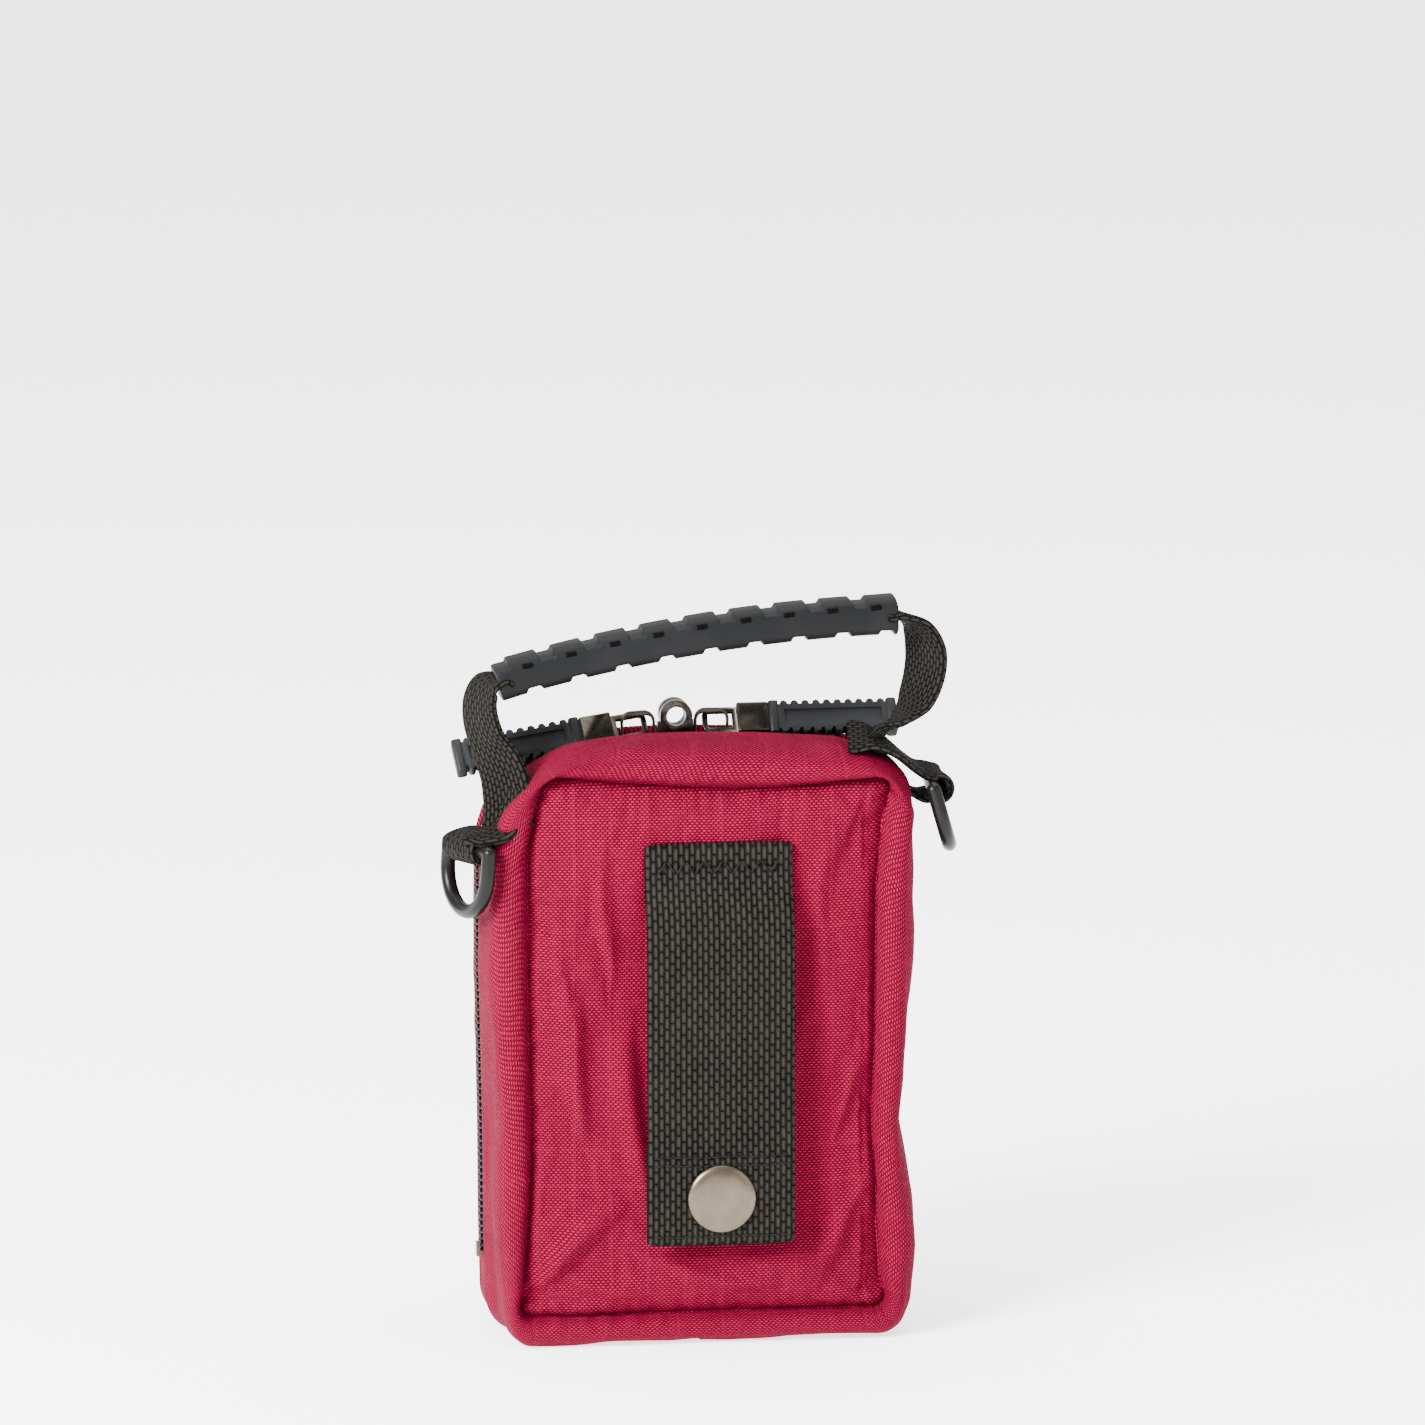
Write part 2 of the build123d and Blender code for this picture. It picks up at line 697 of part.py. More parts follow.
def make_lid_contents():
    lid_face = half_depth - fabric_thickness
    wipes_y1 = lid_face - 0.2
    wipes_y0 = wipes_y1 - wipes_thickness
    wipes_z = seam_bottom + 12
    wipes = box_between(
        (-wipes_width / 2 - 4, wipes_y0, wipes_z), (wipes_width / 2 - 4, wipes_y1, wipes_z + wipes_height)
    )
    keep("wipes_packet", fillet(wipes.edges().filter_by(Axis.Y), 2.0))
    pocket_y = wipes_y0 - 0.4
    pocket_half = half_width - edge_roll_radius
    pocket_low = seam_bottom + 9
    mesh = box_between((-pocket_half, pocket_y - 0.6, pocket_low), (pocket_half, pocket_y, pocket_top))
    for side in (-1, 1):
        x0, x1 = sorted((side * (pocket_half - 0.6), side * pocket_half))
        mesh += box_between((x0, pocket_y, pocket_low), (x1, lid_face - binding_depth - 0.1, pocket_top))
    base_back = lid_face - binding_depth - 0.1
    mesh += box_between((-pocket_half, pocket_y, pocket_low), (pocket_half, base_back, pocket_low + 0.6))
    keep("mesh_pocket", mesh)
    hem = box_between(
        (-pocket_half, pocket_y - 1.4, pocket_top - 4), (pocket_half, pocket_y - 0.6, pocket_top + 1.5)
    )
    keep("pocket_hem", hem)
    return pocket_y - 1.4


def scissor_half(mirror_it):
    """One half of the scissors in the XZ plane round its pivot: blade up, finger loop down."""
    blade_length = scissor_length * 0.42
    grip_drop = scissor_length * 0.42
    loop_x = 10.0
    edge = [(-3.2, -4), (-2.6, blade_length * 0.5), (1.0, blade_length), (2.4, blade_length - 3), (3.4, -4)]
    blade = make_face(Polyline(*edge, close=True))
    neck = [(-3.2, -3), (3.4, -3), (loop_x - 1.0, -grip_drop * 0.72), (loop_x - 5.2, -grip_drop * 0.76)]
    shank = make_face(Polyline(*neck, close=True))
    loop = Pos(loop_x, -grip_drop) * Ellipse(8.0, 12.0)
    hole = Pos(loop_x, -grip_drop) * Ellipse(5.4, 9.4)
    face = (blade + shank + loop) - hole - Circle(1.8 if mirror_it else 1.5)
    if mirror_it:
        face = mirror(face, about=Plane.YZ)
    return Plane.XZ * face


def make_scissors(front_y):
    pivot_z = 72.0
    pivot_x = -1.0
    layer = scissor_thickness
    y_near = front_y - 0.5
    fixed = Pos(pivot_x, y_near, pivot_z) * extrude(scissor_half(False), layer)
    moving = Pos(pivot_x, y_near - layer - 0.1, pivot_z) * extrude(scissor_half(True), layer)
    keep("scissors_blade_fixed", fixed)
    keep("scissors_blade_moving", moving)
    pivot = cylinder_y(1.5, y_near - 2 * layer - 0.3, y_near, pivot_x, pivot_z)
    pivot += cylinder_y(2.4, y_near - 2 * layer - 0.9, y_near - 2 * layer - 0.2, pivot_x, pivot_z)
    keep("scissors_pivot", pivot)
    arm_length = 62.0
    x0, z0 = 27.0, 40.0
    legs = []
    for edge in (-1, 1):
        tip = (x0 + edge * 0.25, z0)
        legs.append(
            make_face(
                Polyline(
                    tip,
                    (x0 + edge * 1.4, z0),
                    (x0 + edge * 4.2, z0 + 26),
                    (x0 + edge * 0.7, z0 + arm_length),
                    (x0, z0 + arm_length),
                    (x0, z0 + arm_length - 6),
                    (x0 + edge * 3.0, z0 + 26),
                    close=True,
                )
            )
        )
    tweezers = Pos(0, y_near, 0) * extrude(Plane.XZ * (legs[0] + legs[1]), 3.0)
    keep("tweezers", tweezers)
    ring_z = pivot_z - scissor_length * 0.42 - 10.7
    keepers = [(pivot_x + 10.0, ring_z, 6.0, layer), (x0, z0 + 20, 9.6, 3.0)]
    loops = []
    for x, z, width, depth in keepers:
        low, high = (x - width / 2, y_near - depth - 0.2, z - 3), (x + width / 2, y_near + 0.1, z + 3)
        band = box_between((low[0] - 0.7, low[1] - 0.7, low[2]), (high[0] + 0.7, front_y + 0.8, high[2]))
        if width < 8:
            band = box_between((low[0], low[1] - 0.7, low[2] - 0.7), (high[0], front_y + 0.8, high[2] + 0.7))
            low, high = (low[0] - 1, low[1], low[2]), (high[0] + 1, high[1], high[2])
        else:
            low, high = (low[0], low[1], low[2] - 1), (high[0], high[1], high[2] + 1)
        loops.append(band - box_between(low, high))
    keep("tool_loops", Compound(children=[s for b in loops for s in b.solids()]))


def make_cross():
    """A plain equal-armed cross patch on the outside of the front panel."""
    arm_half, reach, thickness = 5.0, 15.0, 0.7
    middle_z = 68.0
    cross = Rectangle(2 * reach, 2 * arm_half) + Rectangle(2 * arm_half, 2 * reach)
    solid = extrude(Plane.XZ * cross, thickness)
    keep("cross_patch", Pos(0, half_depth + thickness, middle_z) * solid)


make_pouch()
make_bindings()
make_zip()
make_sliders()
make_belt_loop()
make_rings()
make_handle()
make_supplies()
make_scissors(make_lid_contents())
make_cross()

os.makedirs("parts", exist_ok=True)
for node, shape in made.items():
    solids = shape.solids()
    whole = solids[0] if len(solids) == 1 else Compound(children=list(solids))
    export_step(whole, f"parts/{node}.step")

print("pull hinges", {n: [round(v, 3) for v in pull_hinge(n)] for n in slider_places})
print("arch centre z", arch_centre_z, "eye z", zip_top + eye_above_zip)
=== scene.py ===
import math

import bmesh
import bpy
import numpy as np
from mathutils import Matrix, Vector


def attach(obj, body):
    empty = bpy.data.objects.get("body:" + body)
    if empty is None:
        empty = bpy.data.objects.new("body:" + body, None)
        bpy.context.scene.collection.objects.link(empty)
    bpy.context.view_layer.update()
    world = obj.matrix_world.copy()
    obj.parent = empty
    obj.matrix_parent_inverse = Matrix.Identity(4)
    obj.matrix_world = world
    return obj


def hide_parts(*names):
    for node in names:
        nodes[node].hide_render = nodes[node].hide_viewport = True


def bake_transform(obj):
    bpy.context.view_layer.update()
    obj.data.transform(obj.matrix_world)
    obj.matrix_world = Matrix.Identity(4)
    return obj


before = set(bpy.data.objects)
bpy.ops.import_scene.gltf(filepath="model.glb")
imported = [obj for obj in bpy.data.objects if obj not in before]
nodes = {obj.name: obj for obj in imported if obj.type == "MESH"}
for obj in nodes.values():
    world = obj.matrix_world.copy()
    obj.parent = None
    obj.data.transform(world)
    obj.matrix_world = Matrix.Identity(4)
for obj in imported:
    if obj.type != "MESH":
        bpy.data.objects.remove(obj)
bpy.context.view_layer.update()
mm = 0.001
print("stage: frame loaded,", len(nodes), "parts")


# ---- shader maths written as plain expressions

class Wire:
    # a socket that can be added, multiplied and compared like a number

    def __init__(self, tree, socket):
        self.tree = tree
        self.socket = socket

    def plug(self, entry, feed):
        # feed is a wire or a plain value
        if isinstance(feed, Wire):
            self.tree.links.new(feed.socket, entry)
        else:
            entry.default_value = feed

    def node(self, kind, *feeds, named={}, out=0, **settings):
        # any node: settings are its properties, feeds its inputs by position and named its inputs by name
        made = self.tree.nodes.new(kind)
        for key, value in settings.items():
            setattr(made, key, value)
        for place, feed in [*enumerate(feeds), *named.items()]:
            self.plug(made.inputs[place], feed)
        return Wire(self.tree, made.outputs[out])

    def math(self, operation, *others, clamp=False):
        return self.node("ShaderNodeMath", self, *others, operation=operation, use_clamp=clamp)

    def __add__(self, other): return self.math("ADD", other)
    def __radd__(self, other): return self.math("ADD", other)
    def __sub__(self, other): return self.math("SUBTRACT", other)
    def __rsub__(self, other): return self.node("ShaderNodeMath", other, self, operation="SUBTRACT")
    def __mul__(self, other): return self.math("MULTIPLY", other)
    def __rmul__(self, other): return self.math("MULTIPLY", other)
    def __truediv__(self, other): return self.math("DIVIDE", other)
    def __rtruediv__(self, other): return self.node("ShaderNodeMath", other, self, operation="DIVIDE")
    def sin(self): return self.math("SINE")
    def abs(self): return self.math("ABSOLUTE")
    def floor(self): return self.math("FLOOR")
    def fract(self): return self.math("FRACT")
    def clip(self): return self.math("ADD", 0.0, clamp=True)
    def power(self, other): return self.math("POWER", other)
    def below(self, other): return self.math("LESS_THAN", other)
    def highest(self, other): return self.math("MAXIMUM", other)

    def ease(self, low, high):
        # 0 below low, 1 above high, a smooth step between
        return self.node("ShaderNodeMapRange", self, low, high, 0.0, 1.0, interpolation_type="SMOOTHSTEP")

    def parts(self):
        split = self.node("ShaderNodeSeparateXYZ", self).socket.node
        return [Wire(self.tree, socket) for socket in split.outputs]

    def join(self, *others):
        return self.node("ShaderNodeCombineXYZ", self, *others)

    def clothMap(self):
        # a piece's own map: u along it and v across it, in metres
        return self.node("ShaderNodeUVMap", uv_map="cloth").parts()[:2]

    def noise(self, scale, detail=2.0, rough=0.5):
        feeds = dict(Vector=self, Scale=scale, Detail=detail, Roughness=rough)
        return self.node("ShaderNodeTexNoise", named=feeds)

    def cellNoise(self):
        # one random number for each whole-numbered place
        return self.node("ShaderNodeTexWhiteNoise", named=dict(Vector=self), out="Value")

    def mix(self, first, second):
        # self is the share of the second colour; 0, 6 and 7 are the inputs of a colour mix, 2 its output
        return self.node("ShaderNodeMix", named={0: self, 6: first, 7: second}, out=2, data_type="RGBA")


film = dict(
    toWide=np.array([[0.6274, 0.3293, 0.0433], [0.0691, 0.9195, 0.0113], [0.0164, 0.0880, 0.8956]]),
    inset=np.array([[0.85663, 0.09512, 0.04825], [0.13732, 0.76124, 0.10144], [0.11190, 0.07680, 0.81130]]),
    outset=np.array([[1.12710, -0.11061, -0.01649], [-0.14133, 1.15782, -0.01649],
                     [-0.14133, -0.11061, 1.25194]]),
    low=-12.47393, high=4.026069, level=6.9)


def toLinear(r, g, b):
    # the base colour that shows as these bytes under a light of film["level"]: the display curve, a
    # sixth-degree polynomial of the log of the light, is undone by interpolation
    c = np.array([r, g, b], float)
    c = (c + np.interp(c, [0, 54, 128, 200, 255], [0, 9, 10, 5, 3])) / 255
    c = np.where(c < 0.04045, c / 12.92, ((c + 0.055) / 1.055) ** 2.4)
    t = np.linspace(0, 1, 4001)
    curve = ((((((15.5 * t - 40.14) * t + 31.96) * t - 6.868) * t + 0.4298) * t + 0.1191) * t) - 0.00232
    c = np.linalg.solve(film["outset"], np.maximum(film["toWide"] @ c, 0) ** (1 / 2.2))
    c = 2 ** (np.interp(c, np.maximum.accumulate(curve), t) * (film["high"] - film["low"]) + film["low"])
    c = np.linalg.solve(film["toWide"], np.linalg.solve(film["inset"], c)) / film["level"]
    c = np.clip(c, 0.0006, 0.9)
    return (float(c[0]), float(c[1]), float(c[2]), 1.0)


def newMaterial(name, build, shine=0.5, **fixed):
    # build(p, shader) wires what varies over the piece, p being its Object coordinates; fixed sets the other
    # sockets by name
    material = bpy.data.materials.new(name)
    material.use_nodes = True
    tree = material.node_tree
    shader = tree.nodes["Principled BSDF"]
    for key, value in {"Specular IOR Level": shine, **fixed}.items():
        shader.inputs[key].default_value = value
    build(Wire(tree, tree.nodes.new("ShaderNodeTexCoord").outputs["Object"]), shader)
    return material


def setBump(shader, height, distance, strength=1.0):
    # height, from 0 to 1, stands that many metres proud
    bump = height.node("ShaderNodeBump", named=dict(Height=height, Distance=distance, Strength=strength))
    height.plug(shader.inputs["Normal"], bump)


# ---- materials

ripstop = dict(colour=(206, 60, 90), dark=(116, 8, 30), paintedGlint=(250, 150, 176), line=(226, 96, 124),
               pitch=1.02 * mm, row=0.54 * mm, grid=8.0 * mm)


def buildRipstop(p, shader):
    # raised threads in rows, every other row set half a pitch along: (1 - a^2)(1 - b^2) in each cell, with a
    # heavier thread every 8 mm both ways, and a painted highlight mixed onto each thread's crown
    u, v = p.clothMap()
    row = (v / ripstop["row"]).floor()
    shift = (row * 0.5).fract()
    a = ((u / ripstop["pitch"] + shift).fract() - 0.5).abs() * 2.0
    b = ((v / ripstop["row"]).fract() - 0.5).abs() * 2.0
    thread = (1.0 - a.power(2.2)) * (1.0 - b.power(2.6))
    cell = (u / ripstop["pitch"] + shift).floor().join(row, 0.0).cellNoise()
    g = ripstop["grid"]
    lineU = 1.0 - ((u / g).fract() - 0.5).abs().ease(0.02, 0.07)
    lineV = 1.0 - ((v / g).fract() - 0.5).abs().ease(0.02, 0.07)
    grid = lineU.highest(lineV)
    cloud = p.noise(38.0, 3.0)
    streak = (u / (1.1 * mm)).join(v / (26.0 * mm), 0.0).noise(1.0, 2.0)
    share = (thread * 0.8 + (cell - 0.5) * 0.07 + (streak - 0.5) * 0.4 + 0.08).clip()
    body = share.mix(toLinear(*ripstop["dark"]), toLinear(*ripstop["colour"]))
    # painted highlight: the crown of each thread is mixed towards a pale pink glint colour
    body = (thread * thread * (0.26 + cell * 0.12)).mix(body, toLinear(*ripstop["paintedGlint"]))
    body = (grid * 0.13).mix(body, toLinear(*ripstop["line"]))
    body = (cloud.ease(0.4, 0.8) * 0.14).mix(body, toLinear(*ripstop["dark"]))
    p.plug(shader.inputs["Base Color"], body)
    p.plug(shader.inputs["Roughness"], 0.82 - 0.14 * thread)
    setBump(shader, thread + grid * 0.5 + cell * 0.2, 0.24 * mm, 0.8)


ripstopMaterial = newMaterial("ripstop crimson", buildRipstop, shine=0.035)


def webbingBuilder(colour, dark, pitch, row):
    # columns of upright stitches, each column set half a row lower than the one beside it
    def build(p, shader):
        u, v = p.clothMap()
        column = (u / pitch).floor()
        shift = (column * 0.5).fract()
        cu = ((u / pitch).fract() - 0.5).abs() * 2.0
        cv = ((v / (2 * row) + shift).fract() - 0.5).abs() * 2.0
        tick = (1.0 - cu.power(2.0)) * (1.0 - cv.power(4.0))
        fibre = (u / (0.21 * mm)).join(v / (3.0 * mm), 0.0).noise(1.0, 2.0)
        cell = column.join((v / (2 * row) + shift).floor(), 0.0).cellNoise()
        dust = p.noise(60.0, 3.0)
        share = (tick * (0.55 + 0.5 * fibre) + (cell - 0.5) * 0.16 + (dust - 0.5) * 0.3).clip()
        p.plug(shader.inputs["Base Color"], share.mix(toLinear(*dark), toLinear(*colour)))
        p.plug(shader.inputs["Roughness"], 0.78 - 0.2 * fibre)
        setBump(shader, tick + fibre * 0.22, 0.55 * mm, 1.0)
    return build


webbingMaterial = newMaterial(
    "black webbing", webbingBuilder((108, 101, 93), (4, 4, 4), 1.2 * mm, 1.3 * mm), shine=0.03)
narrowWebbing = newMaterial(
    "black narrow webbing", webbingBuilder((102, 96, 89), (4, 4, 4), 1.0 * mm, 1.05 * mm), shine=0.03)


def threadBuilder(colour, dark):
    # slanting strands: (sin(2 pi (u / 0.5 mm + v / 0.35 mm)) + 1) / 2
    def build(p, shader):
        u, v = p.clothMap()
        twist = ((u / (0.5 * mm) + v / (0.35 * mm)) * 6.283).sin() * 0.5 + 0.5
        p.plug(shader.inputs["Base Color"], twist.mix(toLinear(*dark), toLinear(*colour)))
        setBump(shader, twist, 0.1 * mm, 0.6)
    return build


threadMaterial = newMaterial(
    "black thread", threadBuilder((66, 62, 58), (18, 17, 16)), shine=0.1, Roughness=0.6)


def mouldedBuilder(colour, wear, grain, depth=0.04 * mm, low=0.42, high=0.62):
    # fine moulded grain, paler where handling has polished it
    def build(p, shader):
        fine = p.noise(grain, 3.0, 0.6)
        broad = p.noise(70.0, 3.0)
        share = (broad.ease(0.4, 0.72) * 0.5 + (fine - 0.5) * 0.3).clip()
        p.plug(shader.inputs["Base Color"], share.mix(toLinear(*colour), toLinear(*wear)))
        p.plug(shader.inputs["Roughness"], low + (high - low) * broad)
        setBump(shader, fine, depth, 0.5)
    return build


gripRubber = newMaterial("grip rubber", mouldedBuilder((46, 48, 51), (68, 70, 73), 1100.0), shine=0.06)
pullRubber = newMaterial("pull rubber", mouldedBuilder((62, 64, 68), (84, 86, 90), 1300.0), shine=0.12)
ringMaterial = newMaterial(
    "black ring enamel", mouldedBuilder((26, 24, 22), (50, 46, 43), 600.0, 0.02 * mm, 0.24, 0.4),
    shine=0.12, **{"Coat Weight": 0.02})
coilMaterial = newMaterial(
    "black coil", mouldedBuilder((22, 20, 20), (52, 48, 47), 1500.0, 0.02 * mm, 0.3, 0.45), shine=0.15)
plasticWhite = newMaterial(
    "white plastic", mouldedBuilder((214, 214, 210), (232, 232, 230), 500.0, 0.02 * mm, 0.3, 0.45))


def metalBuilder(colour, dark, low, high, grain=260.0):
    # fine scratches over slow clouds; a deeper scratch is brighter and rougher
    def build(p, shader):
        scratch = p.noise(grain, 4.0, 0.65)
        cloud = p.noise(90.0, 2.0)
        share = (scratch.ease(0.3, 0.75) * 0.6 + cloud * 0.4).clip()
        p.plug(shader.inputs["Base Color"], share.mix(toLinear(*dark), toLinear(*colour)))
        p.plug(shader.inputs["Roughness"], low + (high - low) * scratch)
        setBump(shader, scratch, 0.02 * mm, 0.35)
    return build


gunmetal = newMaterial("gunmetal", metalBuilder((166, 157, 147), (104, 98, 92), 0.2, 0.36), Metallic=1.0)
nickel = newMaterial("satin nickel", metalBuilder((188, 178, 166), (172, 161, 150), 0.27, 0.34), Metallic=1.0)
steel = newMaterial("polished steel", metalBuilder((205, 206, 208), (168, 170, 173), 0.16, 0.3), Metallic=1.0)


def plainWeaveBuilder(colour, dark, pitch=0.6 * mm, depth=0.12 * mm):
    # over and under threads on the object's own axes, for pieces that have no cloth map
    def build(p, shader):
        x, y, z = p.parts()
        a, b = ((x + y) / pitch * math.pi).sin().abs(), (z / pitch * math.pi).sin().abs()
        weave = a * b
        cloud = p.noise(120.0, 3.0)
        share = (weave * 0.8 + cloud * 0.35).clip()
        p.plug(shader.inputs["Base Color"], share.mix(toLinear(*dark), toLinear(*colour)))
        p.plug(shader.inputs["Roughness"], 0.8 - 0.12 * weave)
        setBump(shader, weave, depth, 0.8)
    return build


tapeBlack = newMaterial("zip tape", plainWeaveBuilder((48, 44, 42), (16, 15, 14)), shine=0.1)
bindingBlack = newMaterial("binding tape", plainWeaveBuilder((62, 58, 55), (16, 15, 15), 0.9 * mm), shine=0.03)
gauzeWhite = newMaterial(
    "cotton gauze", plainWeaveBuilder((236, 232, 222), (190, 184, 172), 1.1 * mm, 0.3 * mm))
clothTape = newMaterial("cloth tape", plainWeaveBuilder((222, 196, 166), (190, 160, 128), 0.5 * mm))
patchWhite = newMaterial("patch twill", plainWeaveBuilder((232, 230, 226), (188, 186, 180), 0.5 * mm))


net = dict(pitch=1.6 * mm, colour=(34, 33, 33))


def buildMesh(p, shader):
    # a hole in each cell where |sin(pi x / pitch)| |sin(pi z / pitch)| is high
    x, y, z = p.parts()
    across, up = (x / net["pitch"] * math.pi).sin().abs(), (z / net["pitch"] * math.pi).sin().abs()
    holes = (across * up).ease(0.35, 0.6)
    p.plug(shader.inputs["Alpha"], 1.0 - holes * 0.85)
    setBump(shader, 1.0 - holes, 0.2 * mm, 0.8)


meshMaterial = newMaterial(
    "black net", buildMesh, shine=0.1, Roughness=0.7, **{"Base Color": toLinear(*net["colour"])})


def packetBuilder(colour, stripe):
    # a plain sachet with a band of colour and crimped ends
    def build(p, shader):
        x, y, z = p.parts()
        crimp = (z / (1.2 * mm) * math.pi).sin() * 0.5 + 0.5
        band = (((z / (26 * mm)).fract() - 0.5).abs()).below(0.12)
        p.plug(shader.inputs["Base Color"], band.mix(toLinear(*colour), toLinear(*stripe)))
        p.plug(shader.inputs["Roughness"], 0.35 + 0.2 * p.noise(180.0))
        setBump(shader, crimp * 0.2 + p.noise(140.0, 3.0), 0.25 * mm, 0.7)
    return build


plasterPaper = newMaterial("plaster packet", packetBuilder((232, 232, 228), (196, 150, 112)))
gauzePaper = newMaterial("gauze packet", packetBuilder((236, 238, 240), (92, 140, 176)))
wipesPaper = newMaterial("wipes packet", packetBuilder((230, 236, 232), (88, 156, 128)))
print("stage: materials")


# ---- grids of points into meshes

class Surface:
    # gathers grids of points, with a cloth map in metres, into one mesh

    def __init__(self):
        self.points, self.quads, self.uvs, self.count = [], [], [], 0

    def add(self, points, uv=None, closeRows=False, closeColumns=False, flip=False):
        # points is (rows, columns, 3); neighbours are joined by faces, and a closed direction joins its last
        # to its first
        rows, columns = points.shape[:2]
        index = np.arange(rows * columns).reshape(rows, columns) + self.count
        if uv is None:
            stepR = np.linalg.norm(np.diff(points, axis=0), axis=2).mean(axis=1)
            stepC = np.linalg.norm(np.diff(points, axis=1), axis=2).mean(axis=0)
            r = np.concatenate([[0], np.cumsum(stepR)])
            c = np.concatenate([[0], np.cumsum(stepC)])
            uv = np.stack(np.meshgrid(c, r), -1)
        if closeRows:
            index = np.vstack([index, index[:1]])
            uv = np.concatenate([uv, uv[-1:] * 2 - uv[-2:-1]], 0)
        if closeColumns:
            index = np.hstack([index, index[:, :1]])
            uv = np.concatenate([uv, uv[:, -1:] * 2 - uv[:, -2:-1]], 1)

        def corners(a):
            return np.stack([a[:-1, :-1], a[1:, :-1], a[1:, 1:], a[:-1, 1:]], 2)

        quads = corners(index).reshape(-1, 4)
        uvs = corners(uv).reshape(-1, 4, 2)
        if flip:
            quads, uvs = quads[:, ::-1], uvs[:, ::-1]
        self.points.append(points.reshape(-1, 3))
        self.quads.append(quads)
        self.uvs.append(uvs)
        self.count += rows * columns
        return self

    def tube(self, path, radius, sides=8):
        # a round section carried along a path and closed at both ends by shrinking to a point
        return self.add(*carry(path, sectionRing(sides) * radius, capped=True), closeColumns=True)

    def make(self, name, material):
        # one object at the origin, with the cloth map as its UV layer
        points = np.concatenate(self.points)
        quads = np.concatenate(self.quads)
        uvs = np.concatenate(self.uvs)
        mesh = bpy.data.meshes.new(name)
        mesh.vertices.add(len(points))
        mesh.vertices.foreach_set("co", points.astype(np.float32).ravel())
        mesh.loops.add(len(quads) * 4)
        mesh.loops.foreach_set("vertex_index", quads.astype(np.int32).ravel())
        mesh.polygons.add(len(quads))
        mesh.polygons.foreach_set("loop_start", np.arange(0, len(quads) * 4, 4, dtype=np.int32))
        mesh.polygons.foreach_set("use_smooth", np.full(len(quads), True))
        layer = mesh.uv_layers.new(name="cloth")
        layer.data.foreach_set("uv", uvs.reshape(-1, 2).astype(np.float32).ravel())
        mesh.update(calc_edges=True)
        mesh.validate()
        made = bpy.data.objects.new(name, mesh)
        bpy.context.scene.collection.objects.link(made)
        mesh.materials.append(material)
        return made


def sectionRing(sides):
    # points (cos t, sin t) evenly round a circle
    turn = np.linspace(0, 2 * math.pi, sides, endpoint=False)
    return np.stack([np.cos(turn), np.sin(turn)], 1)


def unit(v):
    return v / np.maximum(np.linalg.norm(v, axis=-1, keepdims=True), 1e-12)


def carry(path, section, capped=False, side=None):
    # a section (n, 2) carried along a path (m, 3): each ring is path + side * x + lift * y, where side is
    # along x upwards if it isn't given, and lift is side x along. A capped end adds a shrunken ring.
    path = np.asarray(path, float)
    along = unit(np.gradient(path, axis=0))
    if side is None:
        side = unit(np.cross(along, np.broadcast_to(np.array([0, 0, 1.0]), path.shape)))
    else:
        side = unit(side - along * (side * along).sum(1, keepdims=True))
    lift = np.cross(side, along)
    rings = path[:, None] + (side[:, None] * section[None, :, :1] + lift[:, None] * section[None, :, 1:])
    length = np.concatenate([[0], np.cumsum(np.linalg.norm(np.diff(path, axis=0), axis=1))])
    if capped:
        first = path[:1, None] + (rings[:1] - path[:1, None]) * 0.02
        last = path[-1:, None] + (rings[-1:] - path[-1:, None]) * 0.02
        rings = np.concatenate([first, rings, last])
        length = np.concatenate([length[:1], length, length[-1:]])
    girth = np.concatenate([[0], np.cumsum(np.linalg.norm(np.diff(section, axis=0), axis=1))])
    uv = np.stack(np.meshgrid(girth, length), -1)
    return rings, uv


def smoothPath(points, count):
    # a curve through the points: Catmull-Rom pieces, then spread evenly along its length
    p = np.asarray(points, float)
    p = np.vstack([2 * p[0] - p[1], p, 2 * p[-1] - p[-2]])
    t = np.linspace(0, 1, 40, endpoint=False)[:, None]
    pieces = []
    for a, b, c, d in zip(p[:-3], p[1:-2], p[2:-1], p[3:]):
        bend, twist = 2 * a - 5 * b + 4 * c - d, 3 * b - a - 3 * c + d
        pieces.append(0.5 * (2 * b + (c - a) * t + bend * t**2 + twist * t**3))
    curve = np.vstack(pieces + [p[-2][None]])
    return spread(curve, count)


def spread(curve, count):
    # the same curve with its points evenly along its length
    s = np.concatenate([[0], np.cumsum(np.linalg.norm(np.diff(curve, axis=0), axis=1))])
    want = np.linspace(0, s[-1], count)
    return np.stack([np.interp(want, s, curve[:, k]) for k in range(curve.shape[1])], 1)


def smoothNoise(shape, cells, seed):
    # random heights on a coarse grid, eased between its points: a + (b - a) * s * s * (3 - 2 s) both ways
    rng = np.random.default_rng(seed)
    grid = rng.uniform(-1, 1, (cells[0] + 2, cells[1] + 2))
    r = np.linspace(0, cells[0], shape[0])
    c = np.linspace(0, cells[1], shape[1])
    ri, ci = r.astype(int), c.astype(int)
    rf, cf = r - ri, c - ci
    rf, cf = (rf * rf * (3 - 2 * rf))[:, None], (cf * cf * (3 - 2 * cf))[None]
    a, b = grid[ri][:, ci], grid[ri][:, ci + 1]
    d, e = grid[ri + 1][:, ci], grid[ri + 1][:, ci + 1]
    return (a * (1 - cf) + b * cf) * (1 - rf) + (d * (1 - cf) + e * cf) * rf


# ---- the pouch's outline

rim = dict(half=46.3, base=0.0, crown=131.0, arch=150.0, corners=(8.5, 15.0, 24.0, 8.5))
seam = dict(half=38.0, base=6.5, crown=122.3, arch=4000.0, corners=(4.0, 4.0, 3.6, 4.0))
zipLine = dict(half=45.1, base=1.2, crown=126.4, arch=150.0, corners=(7.3, 14.0, 23.0, 7.3))
stretchCounts = dict(base=56, baseCorner=40, side=150, topCorner=66, arch=150)


